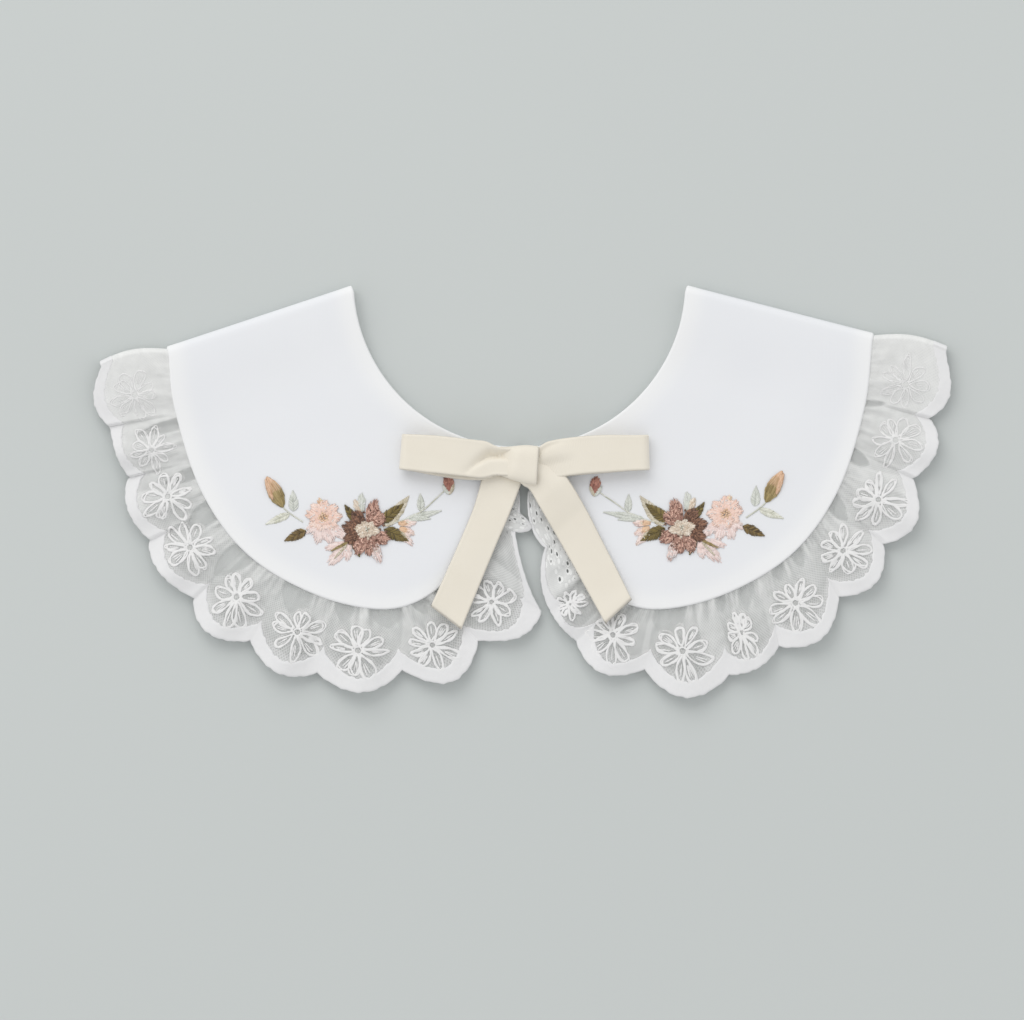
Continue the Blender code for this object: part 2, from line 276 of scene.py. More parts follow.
def shell_rings(middle: np.ndarray, half_wall: np.ndarray, loop: bool = False) -> np.ndarray:
    """Return a closed wall round a middle surface, as a ring of points for each column.

    The outer face is middle + normal * half_wall and the inner one middle - normal * half_wall.

    Args:
        middle: the middle surface's grid.
        half_wall: half of the wall's thickness at each of its points, 0 along its edges.
        loop: whether its last column lies on its first one.

    Returns:
        The rings, out along one face and back along the other.
    """
    if loop:
        normals = grid_normals(np.concatenate([middle[-2:-1], middle, middle[1:2]]))[1:-1]
    else:
        normals = grid_normals(middle)
    return both_faces(middle + normals * half_wall[..., None], middle - normals * half_wall[..., None])


def rounded(distance: np.ndarray, radius: float) -> np.ndarray:
    """Return sqrt(1 - (1 - d/radius)^2), the height of a rounded edge, 1 past the radius."""
    return np.sqrt(np.clip(1.0 - (1.0 - np.clip(distance / radius, 0.0, 1.0)) ** 2, 0.0, 1.0))


# The collar's form, after its solids


class Notch(NamedTuple):
    """A notch of the scalloped edge, and the scallop that follows it."""

    root: float
    across: float
    along: float
    rise: float
    peak: float
    height: float
    crest: float
    step: float


PANEL_EDGE = (
    (0.6, -45.6),
    (8.8, -62.0),
    (15.5, -74.6),
    (23.6, -84.3),
    (36.5, -88.7),
    (55.0, -84.8),
    (73.6, -73.8),
    (86.0, -56.8),
    (93.2, -34.5),
)
SHOULDER_POINT = {Side.LEFT: (94.8, -19.7), Side.RIGHT: (95.3, -16.1)}
LACE_NOTCHES = {
    Side.LEFT: (
        Notch(0.0, 112.9, -23.2, 3.2, 0.55, 3.6, 0.4, 0.0),
        Notch(16.5, 110.8, -39.2, 1.0, 0.60, 2.8, 2.2, 1.3),
        Notch(30.0, 105.4, -52.9, 3.1, 0.45, 2.6, 1.6, 1.2),
        Notch(44.0, 99.8, -69.9, 3.2, 0.42, 2.9, 2.4, 1.0),
        Notch(58.0, 87.9, -85.6, 5.2, 0.45, 2.6, 1.8, 0.7),
        Notch(72.0, 72.8, -97.1, 4.6, 0.52, 2.8, 2.2, 0.2),
        Notch(87.0, 54.7, -105.8, 5.7, 0.52, 2.6, 2.4, 0.0),
        Notch(102.0, 31.7, -105.0, 7.8, 0.53, 2.8, 1.8, 0.0),
        Notch(114.0, 11.2, -97.2, 3.9, 0.58, 2.5, 1.4, 0.3),
        Notch(125.0, -6.0, -89.1, -1.2, 0.45, 2.3, 0.3, 0.0),
        Notch(137.5, 1.1, -67.8, 3.9, 0.42, 2.5, 0.3, 0.3),
        Notch(145.5, -0.2, -62.8, 0.0, 0.50, 2.4, 0.0, 0.0),
        Notch(153.0, 0.0, -56.6, 0.0, 0.50, 2.2, 0.0, 0.0),
    ),
    Side.RIGHT: (
        Notch(0.0, 115.1, -19.1, 3.9, 0.60, 3.6, 0.6, 0.0),
        Notch(16.5, 110.6, -37.0, 4.2, 0.45, 2.6, 2.0, 1.2),
        Notch(30.0, 106.4, -53.2, 5.6, 0.55, 2.8, 2.4, 1.1),
        Notch(44.0, 98.3, -71.0, 5.2, 0.50, 2.7, 1.8, 0.9),
        Notch(58.0, 86.3, -85.2, 5.7, 0.52, 2.6, 2.4, 0.6),
        Notch(72.0, 70.1, -98.6, 2.2, 0.50, 2.9, 2.6, 0.5),
        Notch(87.0, 56.6, -106.4, 6.9, 0.50, 2.6, 1.8, 0.0),
        Notch(102.0, 33.8, -104.8, 5.4, 0.52, 2.7, 2.0, 0.0),
        Notch(114.0, 15.3, -97.2, 0.7, 0.50, 2.5, 1.2, 0.2),
        Notch(125.0, 8.1, -88.8, 1.8, 0.50, 2.3, 0.4, 0.0),
        Notch(137.5, 6.9, -72.0, 2.1, 0.45, 2.2, 0.1, 0.0),
        Notch(153.0, 2.4, -56.6, 0.0, 0.50, 2.2, 0.0, 0.0),
    ),
}


@dataclass
class CollarForm:
    """The outlines and heights of one side, worked out as its solids' are.

    The left lace has one scallop more at the centre front than its solid has.
    """

    side: Side
    neck_radius: float = 44.8
    centre_gap: float = 0.35
    fold_line_drop: float = 3.1
    cotton_wall: float = 1.2
    layer_gap: float = 0.4
    fold_radius: float = 1.5
    spring_length: float = 24.0
    lace_rest: float = 0.5
    under_reach: float = 0.93
    bow: float = 1.6
    fullness: float = 0.8

    def __post_init__(self) -> None:
        """Work out the outer edge and the fold's direction once."""
        self.edge = through([*PANEL_EDGE, SHOULDER_POINT[self.side]], 900)[::-1]
        run = unit(np.array(SHOULDER_POINT[self.side]) - self.neck(np.array([0.0]))[0])
        self.fold = quarter_turn(run)
        self.notches = {n: np.array([getattr(v, n) for v in LACE_NOTCHES[self.side]]) for n in Notch._fields}
        self.scallops = len(LACE_NOTCHES[self.side]) - 1

    def neck(self, share: np.ndarray) -> np.ndarray:
        """Return the neck edge's points: R(cos a, sin a), from the shoulder at 0 to the centre front at 1."""
        start = -math.asin(self.fold_line_drop / self.neck_radius)
        end = -math.acos(self.centre_gap / self.neck_radius)
        angle = start + (end - start) * share
        return self.neck_radius * on_circle(angle)

    def front_height(self, from_fold: np.ndarray) -> np.ndarray:
        """Return the height of the front layer's middle, from its distance to the shoulder fold."""
        resting = 1.5 * self.cotton_wall + self.layer_gap
        sprung = 0.5 * self.cotton_wall + 2.0 * self.fold_radius
        return resting + (sprung - resting) * (1.0 - smooth_step(from_fold / self.spring_length))

    def cloth_wave(self, across: np.ndarray, along: np.ndarray) -> np.ndarray:
        """Return the cotton's soft, broad waves: a sum of three slow sines, within 0.3 mm."""
        return (
            0.13 * np.sin(across / 9.0 + along / 14.0 + self.side.value)
            + 0.09 * np.sin(across / 5.5 - along / 7.5 + 2.0)
            + 0.06 * np.sin(along / 4.2 + across / 21.0)
        )

    def turn(self, upper: np.ndarray, lower: np.ndarray, steps: int) -> np.ndarray:
        """Return the columns that carry a sheet round the shoulder fold, on half circles that bulge outwards.

        Args:
            upper: the upper layer's first column.
            lower: the lower layer's first column.
            steps: how many columns lie between them.

        Returns:
            The columns between, from the upper layer to the lower one.
        """
        middle, radius = 0.5 * (upper + lower), 0.5 * (upper[:, 2] - lower[:, 2])
        angle = np.linspace(0.0, math.pi, steps + 2)[1:-1, None]
        columns = np.repeat(middle[None], steps, axis=0)
        columns[..., :2] += (radius * np.sin(angle))[..., None] * self.fold
        columns[..., 2] += radius * np.cos(angle)
        return columns

    def lace(self, along: np.ndarray, reach: np.ndarray) -> np.ndarray:
        """Return points of the ruffle's front layer.

        A point is root + (straight - root) * reach + bulge * reach^3 in plan. Its height goes from the seam's
        to the border's with 3r^2 - 2r^3, and gathers ripple it, most near the seam.

        Args:
            along: how many scallops from the shoulder.
            reach: 0 at the seam to 1 at the scalloped edge.

        Returns:
            Across, along and height for each point.
        """
        n, count = self.notches, self.scallops
        i = np.clip(np.floor(along).astype(int), 0, count - 1)
        part = along - i
        distance = np.interp(along, np.arange(count + 1), n["root"])
        root = at_distance(self.edge, distance)
        ahead, behind = distance + 0.5, np.maximum(distance - 0.5, 0)
        tangent = unit(at_distance(self.edge, ahead) - at_distance(self.edge, behind))
        root = root + 0.1 * quarter_turn(tangent)
        corners = np.stack([n["across"], n["along"]], axis=1)
        chord = corners[i + 1] - corners[i]
        outwards = unit(quarter_turn(chord))
        skew = np.log(0.5) / np.log(n["peak"][i])
        bulge = n["rise"][i] * np.sin(math.pi * np.clip(part, 0, 1) ** skew) ** self.fullness
        free = smooth_step(along / 0.8)
        flat = root + (corners[i] + chord * part[..., None] - root) * reach[..., None]
        flat = flat + outwards * (bulge * reach**3)[..., None]
        flat = flat + self.fold * (self.bow * np.sin(math.pi * reach) * (1.0 - free))[..., None]

        crest = n["crest"][i] * np.sin(math.pi * part) ** 2
        border = np.interp(along, np.arange(count + 1), n["height"]) + crest
        seam = self.front_height(np.linalg.norm(root - self.edge[0], axis=-1))
        near = np.clip(1.0 - reach, 0.0, 1.0)
        gathers = 0.3 * np.sin(2.0 * TAU * along) * np.sin(math.pi * reach)
        gathers += 0.22 * np.sin(TAU * (3.3 * along + 0.35 * np.sin(TAU * 0.7 * along))) * near**1.3
        gathers += 0.13 * np.sin(TAU * 6.4 * along + 1.3) * near**2 * np.minimum(reach * 8.0, 1.0)
        start, end = n["step"][i], n["step"][np.minimum(i + 1, count)]
        lean = 0.5 * end * np.clip(part * 2 - 1, 0, 1) ** 2 - 0.35 * start * np.clip(1 - part * 2, 0, 1) ** 2
        lean = lean * np.clip(reach * 1.6, 0, 1)
        height = seam + (border - seam) * smooth_step(reach) + gathers * free + lean
        return np.concatenate([flat, height[..., None]], axis=-1)

    def under_lace(self, along: np.ndarray, reach: np.ndarray) -> np.ndarray:
        """Return points of the ruffle's back layer, a little smaller and flat on the table."""
        short = reach * (1.0 - (1.0 - self.under_reach) * smooth_step(along / 0.8))
        points = self.lace(along, short)
        points[..., 2] = self.lace_rest
        return points

    def normals(self, surface: Surface, a: np.ndarray, r: np.ndarray) -> np.ndarray:
        """Return a surface's upward normals, from its differences along and out."""
        step = 0.01
        along = surface(a + step, r) - surface(a - step, r)
        out = surface(a, r + step) - surface(a, r - step)
        found = unit(np.cross(along, out))
        return found * np.where(found[..., 2:] < 0, -1.0, 1.0)


# Finishes


class Nodes:
    """A material's node tree, with short calls to add and join nodes."""

    def __init__(self, name: str) -> None:
        """Start a material with a bare Principled shader."""
        self.material = bpy.data.materials.new(name)
        self.material.use_nodes = True
        self.tree = self.material.node_tree
        self.shader = self.tree.nodes["Principled BSDF"]

    def add(self, kind: str, inputs: dict | None = None, **settings: object) -> bpy.types.Node:
        """Add a node.

        Args:
            kind: the node's type, without ShaderNode.
            inputs: a number, colour or other node's output for each named or numbered input.
            settings: the node's own settings.

        Returns:
            The node.
        """
        node = self.tree.nodes.new("ShaderNode" + kind)
        for key, value in settings.items():
            setattr(node, key, value)
        for key, value in (inputs or {}).items():
            self.put(node.inputs[key], value)
        return node

    def put(self, socket: bpy.types.NodeSocket, value: object) -> None:
        """Set a socket to a value, or join another node's output to it."""
        if isinstance(value, bpy.types.NodeSocket):
            self.tree.links.new(value, socket)
        else:
            socket.default_value = value

    def math(self, how: str, first: object, second: object = 0.0) -> bpy.types.NodeSocket:
        """Return the output of a Math node."""
        return self.add("Math", {0: first, 1: second}, operation=how).outputs[0]

    def times(self, first: object, second: object) -> bpy.types.NodeSocket:
        """Return the product of two values."""
        return self.math("MULTIPLY", first, second)

    def plus(self, first: object, second: object) -> bpy.types.NodeSocket:
        """Return the sum of two values."""
        return self.math("ADD", first, second)

    def noise(self, place: object, scale: float, detail: float = 2.0) -> bpy.types.NodeSocket:
        """Return noise of 0 to 1, finer at a larger scale."""
        return self.add("TexNoise", {"Vector": place, "Scale": scale, "Detail": detail}).outputs["Fac"]

    def tint(self, output: str) -> bpy.types.NodeSocket:
        """Return the colour that each point carries, or its brightness."""
        return self.add("Attribute", attribute_name="tint").outputs[output]

    def mix(self, share: object, first: object, second: object) -> bpy.types.NodeSocket:
        """Return a colour mixed from two, which are the Mix node's inputs 6 and 7 and its output 2."""
        return self.add("Mix", {0: share, 6: first, 7: second}, data_type="RGBA").outputs[2]

    def stripes(self, coordinate: object, axis: str, period: float) -> bpy.types.NodeSocket:
        """Return 0 to 1 stripes across an axis, one to a period. A wave texture has 20 radians to a unit."""
        wave = {"Vector": coordinate, "Scale": TAU / (20.0 * period)}
        return self.add("TexWave", wave, bands_direction=axis, wave_profile="SIN").outputs["Fac"]

    def bump(self, height: object, distance: float, strength: float = 1.0) -> None:
        """Bump the surface by a height of 0 to 1 times distance, in metres."""
        node = self.add("Bump", {"Strength": strength, "Distance": distance, "Height": height})
        self.put(self.shader.inputs["Normal"], node.outputs[0])

    def set(self, **values: object) -> None:
        """Set the shader's own sockets, with _ for a space in a name."""
        for key, value in values.items():
            self.put(self.shader.inputs[key.replace("_", " ")], value)


def rgba(colour: tuple[float, float, float]) -> tuple[float, float, float, float]:
    """Return a colour with full alpha."""
    return (*colour, 1.0)


@dataclass(frozen=True)
class CottonFinish:
    """Plain white lawn with a fine weave, whiter where the turned edge is double."""

    middle: tuple = from_srgb(228, 230, 234)
    edge: tuple = from_srgb(236, 237, 238)
    thread: float = 0.00036

    def build(self) -> bpy.types.Material:
        """Return the material."""
        n = Nodes("white_cotton_lawn")
        place = n.add("TexCoord").outputs["Object"]
        weave = n.times(n.stripes(place, "X", self.thread), n.stripes(place, "Y", self.thread * 1.08))
        slub, soft = n.noise(place, 900.0), n.noise(place, 45.0, 1.0)
        body = n.mix(n.times(soft, 0.35), rgba(self.middle), rgba(self.edge))
        n.set(Base_Color=n.mix(n.tint("Fac"), body, rgba(self.edge)), Roughness=0.9, Sheen_Weight=0.15)
        n.bump(n.plus(weave, n.times(slub, 0.7)), 0.00004, 0.25)
        return n.material


@dataclass(frozen=True)
class NetFinish:
    """Fine white net with open holes, denser where it is doubled, with satin-edged eyelets in the cutwork."""

    colour: tuple = from_srgb(234, 235, 234)
    cell_cm: float = 0.055
    open_alpha: float = 0.12
    thread_alpha: float = 0.40
    doubled_alpha: float = 0.95
    slant: float = 0.62
    patchiness: float = 0.45
    streakiness: float = 1.7
    eyelet_cm: float = 0.26
    eyelet_rim: float = 0.46
    eyelet_hole: float = 0.25

    def build(self) -> bpy.types.Material:
        """Return the material."""
        n = Nodes("white_net")
        where = n.add("TexCoord").outputs["UV"]
        look = n.add("SeparateColor", {"Color": n.tint("Color")}).outputs
        slant = n.add("Mapping", {"Vector": where, "Rotation": (0.0, 0.0, self.slant)}).outputs[0]
        back = n.add("Mapping", {"Vector": where, "Rotation": (0.0, 0.0, -self.slant)}).outputs[0]
        threads = n.math("MAXIMUM", n.stripes(slant, "X", self.cell_cm), n.stripes(back, "X", self.cell_cm))
        threads = n.math("POWER", threads, 2.0)
        mesh = n.plus(n.times(threads, self.thread_alpha - self.open_alpha), self.open_alpha)
        patches = n.math("SUBTRACT", n.noise(where, 2.6, 3.0), 0.5)
        density = n.plus(look["Red"], n.times(patches, self.patchiness))
        pulled = n.add("Mapping", {"Vector": where, "Scale": (1.0, 0.14, 1.0)}).outputs[0]
        streaks = n.math("SUBTRACT", n.noise(pulled, 5.5, 1.5), 0.48)
        streaks = n.times(streaks, n.times(look["Blue"], self.streakiness))
        density = n.add("Clamp", {"Value": n.plus(density, streaks)}).outputs[0]
        alpha = n.plus(mesh, n.times(n.math("SUBTRACT", self.doubled_alpha, mesh), density))
        spots = {"Vector": where, "Scale": 1.0 / self.eyelet_cm, "Randomness": 0.7}
        cells = n.add("TexVoronoi", spots).outputs[0]
        rim = n.times(n.math("LESS_THAN", cells, self.eyelet_rim), look["Green"])
        hole = n.times(n.math("LESS_THAN", cells, self.eyelet_hole), look["Green"])
        alpha = n.times(n.math("MAXIMUM", alpha, rim), n.math("SUBTRACT", 1.0, hole))
        n.set(Base_Color=rgba(self.colour), Roughness=0.85, Alpha=alpha)
        n.bump(n.plus(n.times(threads, 0.5), n.plus(rim, density)), 0.00012, 0.5)
        n.material.surface_render_method = "DITHERED"
        return n.material


@dataclass(frozen=True)
class SatinFinish:
    """White satin stitch, with its threads laid side by side across the edge."""

    name: str = "white_satin_stitch"
    colour: tuple = from_srgb(230, 230, 231)
    shade: tuple = from_srgb(220, 221, 222)
    thread_cm: float = 0.03

    def build(self) -> bpy.types.Material:
        """Return the material."""
        n = Nodes(self.name)
        coordinates = n.add("TexCoord")
        ribs = n.stripes(coordinates.outputs["UV"], "X", self.thread_cm)
        fuzz = n.noise(coordinates.outputs["Object"], 700.0, 3.0)
        colour = n.mix(n.times(fuzz, 0.6), rgba(self.colour), rgba(self.shade))
        n.set(Base_Color=colour, Roughness=0.62, Sheen_Weight=0.2)
        n.bump(n.plus(ribs, n.times(fuzz, 1.2)), 0.00006, 0.6)
        return n.material


@dataclass(frozen=True)
class ThreadFinish:
    """Coloured embroidery thread that takes each stitch's own colour."""

    twist: float = 2600.0

    def build(self) -> bpy.types.Material:
        """Return the material."""
        n = Nodes("embroidery_thread")
        place = n.add("TexCoord").outputs["Object"]
        tint = n.tint("Color")
        fuzz = n.noise(place, self.twist)
        darker = n.add("HueSaturation", {"Value": 0.75, "Color": tint}).outputs[0]
        n.set(Base_Color=n.mix(n.times(fuzz, 0.45), tint, darker), Roughness=0.6, Sheen_Weight=0.25)
        n.bump(fuzz, 0.0001, 0.5)
        return n.material


@dataclass(frozen=True)
class RibbonFinish:
    """Cream ribbon with a fine rib across it and a firmer woven edge."""

    colour: tuple = from_srgb(232, 226, 213)
    shade: tuple = from_srgb(225, 218, 203)
    rib_cm: float = 0.045

    def build(self) -> bpy.types.Material:
        """Return the material."""
        n = Nodes("cream_ribbon_weave")
        coordinates = n.add("TexCoord")
        ribs = n.stripes(coordinates.outputs["UV"], "X", self.rib_cm)
        place = coordinates.outputs["Object"]
        grain, cloud = n.noise(place, 1200.0), n.noise(place, 130.0)
        colour = n.mix(n.times(cloud, 0.7), rgba(self.colour), rgba(self.shade))
        n.set(Base_Color=colour, Roughness=0.55, Sheen_Weight=0.35)
        n.bump(n.plus(ribs, n.times(grain, 0.5)), 0.00004, 0.5)
        return n.material


@dataclass(frozen=True)
class TableFinish:
    """The plain pale surface that the collar lies on."""

    colour: tuple = from_srgb(198, 203, 202)

    def build(self) -> bpy.types.Material:
        """Return the material."""
        n = Nodes("pale_table")
        place = n.add("TexCoord").outputs["Object"]
        cloud = n.noise(place, 6.0, 1.0)
        shade = tuple(v * 0.97 for v in self.colour)
        n.set(Base_Color=n.mix(cloud, rgba(self.colour), rgba(shade)), Roughness=0.8)
        return n.material


# The cotton halves


@dataclass
class CottonHalf:
    """One cotton half: front layer, shoulder fold and back layer, with its seam turned inside the edge."""

    form: CollarForm
    material: bpy.types.Material
    columns: int = 120
    rows: int = 26
    edge_steps: tuple = (0.0, 0.06, 0.2, 0.42, 0.75, 1.2, 1.7, 2.1, 2.4, 2.8, 3.4, 4.4)
    fold_steps: int = 9
    edge_radius: float = 0.5
    seam_width: float = 3.0
    seam_rise: float = 0.03
    clearance: float = 0.02

    def row_distances(self, length: np.ndarray) -> np.ndarray:
        """Return how far each row lies from the neck edge, close together near both edges."""
        near = np.array(self.edge_steps)
        scale = np.minimum(1.0, length / (2.6 * near[-1]))[:, None]
        start = near[None] * scale
        inner = np.linspace(0.0, 1.0, self.rows + 2)[1:-1][None]
        middle = start[:, -1:] + (length[:, None] - 2.0 * start[:, -1:]) * inner
        return np.concatenate([start, middle, length[:, None] - start[:, ::-1]], axis=1)

    def layer(self, inset: float) -> tuple[np.ndarray, np.ndarray, np.ndarray]:
        """Return one layer's plan, the distance of its points to the nearest edge, and to the fold.

        Args:
            inset: how much smaller the layer is than the outline, away from the fold.

        Returns:
            The plan's grid and the two distances.
        """
        share = np.linspace(0.0, 1.0, self.columns + 1)
        share = share - 0.03 * np.sin(TAU * share) / TAU
        edge = self.form.edge
        outer = at_distance(edge, distances(edge)[-1] * share)
        neck = self.form.neck(share)
        length = np.linalg.norm(outer - neck, axis=1)
        rows = self.row_distances(length)
        flat = neck[:, None] + (outer - neck)[:, None] * (rows / length[:, None])[..., None]
        to_edge = np.minimum(rows, length[:, None] - rows)
        from_fold = np.linalg.norm(flat - flat[:1], axis=2)
        middle = flat.mean(axis=(0, 1))
        pull = inset * smooth_step(from_fold / self.form.spring_length)
        return flat - unit(flat - middle) * pull[..., None], to_edge, from_fold

    def build(self, spray: bpy.types.Object) -> bpy.types.Object:
        """Args:
            spray: the embroidery that is worked on it. Not used.

        Returns:
            The half's object.
        """
        form = self.form
        flat, to_edge, from_fold = self.layer(0.0)
        wave = form.cloth_wave(flat[..., 0], flat[..., 1])
        wave = wave * smooth_step(to_edge / 7.0) * smooth_step(from_fold / 20.0)
        front = np.dstack([flat, form.front_height(from_fold) + wave])
        back_flat, _, _ = self.layer(0.8)
        back = np.dstack([back_flat, np.full(back_flat.shape[:2], 0.5 * form.cotton_wall + self.clearance)])
        turned = form.turn(front[0], back[0], self.fold_steps)
        middle = np.concatenate([front[::-1], turned, back])
        reach = np.concatenate([to_edge[::-1], np.repeat(to_edge[:1], self.fold_steps, axis=0), to_edge])

        seam = 1.0 - smooth_step((reach - self.seam_width + 0.6) / 1.2)
        wall = 0.5 * form.cotton_wall - self.seam_rise + self.seam_rise * seam
        half = wall * rounded(reach, self.edge_radius)
        half[0] = half[-1] = 0.0
        rings = shell_rings(middle, half)
        whiter = 1.0 - smooth_step((reach - 1.0) / 6.5)
        tint = np.repeat(both_faces(whiter, whiter)[..., None], 3, axis=2)
        draft = MeshDraft()
        draft.add(rings, grid_quads(*rings.shape[:2], ring=True), None, tint)
        name = form.side.label
        item = draft.build(f"cotton_half_{name}", form.side, self.material, merge=True)
        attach(item, "root")
        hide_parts(f"panel_{name}")
        return item


# The lace ruffles


class FlowerPlace(NamedTuple):
    """A lace flower's place on the ruffle, its radius, and how far a fold of the net narrows it."""

    along: float
    reach: float
    radius: float = 7.4
    narrow: float = 1.0


class Wedge(NamedTuple):
    """A gap of single net between two pressed folds, widest at the seam, or a fold of doubled net."""

    along: float
    half_width: float
    depth: float
    lean: float = 0.0


WEDGES = {
    Side.LEFT: (
        Wedge(1.20, 0.15, 0.72, 0.10),
        Wedge(2.22, 0.15, 0.50, 0.08),
        Wedge(3.02, 0.24, 0.48, 0.18),
        Wedge(4.06, 0.27, 0.58, -0.16),
        Wedge(5.30, 0.30, 0.38, 0.06),
        Wedge(6.18, 0.20, 0.26, 0.10),
        Wedge(6.94, 0.32, 0.32, -0.05),
        Wedge(7.66, 0.18, 0.26, 0.00),
        Wedge(8.20, 0.16, 0.40, 0.10),
    ),
    Side.RIGHT: (
        Wedge(1.05, 0.09, 0.34, -0.30),
        Wedge(2.10, 0.16, 0.32, 0.10),
        Wedge(3.10, 0.20, 0.36, 0.12),
        Wedge(4.28, 0.15, 0.30, 0.00),
        Wedge(4.74, 0.15, 0.22, 0.10),
        Wedge(5.44, 0.17, 0.34, 0.06),
        Wedge(5.93, 0.11, 0.26, 0.00),
        Wedge(6.86, 0.33, 0.42, 0.00),
        Wedge(7.62, 0.15, 0.30, 0.00),
    ),
}
FOLDS = {
    Side.LEFT: (
        Wedge(2.40, 0.16, 1.0, 0.00),
        Wedge(3.52, 0.18, 1.0, -0.35),
        Wedge(4.62, 0.16, 1.0, -0.50),
        Wedge(5.80, 0.10, 1.0, 0.20),
        Wedge(6.52, 0.10, 0.5, 0.00),
        Wedge(7.36, 0.12, 1.0, -0.36),
        Wedge(8.00, 0.10, 1.0, 0.00),
        Wedge(9.35, 0.16, 1.0, -0.20),
    ),
    Side.RIGHT: (
        Wedge(2.40, 0.14, 1.0, -0.30),
        Wedge(3.46, 0.16, 1.0, -0.40),
        Wedge(5.10, 0.12, 1.0, -0.10),
        Wedge(6.22, 0.20, 1.0, -0.18),
        Wedge(7.18, 0.07, 1.0, -0.16),
        Wedge(8.02, 0.17, 1.0, 0.00),
        Wedge(9.30, 0.18, 1.0, -0.20),
    ),
}
LACE_FLOWERS = {
    Side.LEFT: (
        FlowerPlace(0.58, 0.52),
        FlowerPlace(1.60, 0.50, 6.2),
        FlowerPlace(2.48, 0.49),
        FlowerPlace(3.39, 0.55),
        FlowerPlace(4.47, 0.55, 7.8),
        FlowerPlace(5.56, 0.55),
        FlowerPlace(6.46, 0.60, 7.9),
        FlowerPlace(7.49, 0.65),
        FlowerPlace(8.68, 0.56, 7.0),
    ),
    Side.RIGHT: (
        FlowerPlace(0.61, 0.51),
        FlowerPlace(1.53, 0.54),
        FlowerPlace(2.55, 0.57, 7.4),
        FlowerPlace(3.55, 0.53),
        FlowerPlace(4.63, 0.57, 7.6),
        FlowerPlace(5.65, 0.55, 7.0, 0.62),
        FlowerPlace(6.57, 0.60, 8.0),
        FlowerPlace(7.65, 0.57),
        FlowerPlace(8.75, 0.62, 4.4, 0.9),
    ),
}
BORDER_CUSPS = {
    Side.LEFT: (0.80, 0.76, 0.72, 0.69, 0.69, 0.66, 0.63, 0.64, 0.64, 0.74, 0.86, 0.86, 0.88),
    Side.RIGHT: (0.80, 0.75, 0.72, 0.69, 0.66, 0.67, 0.64, 0.65, 0.50, 0.74, 0.86, 0.88),
}
CUTWORK_START = {Side.LEFT: 9.8, Side.RIGHT: 8.9}
FLOWER_SEED = {Side.LEFT: 5, Side.RIGHT: 8}


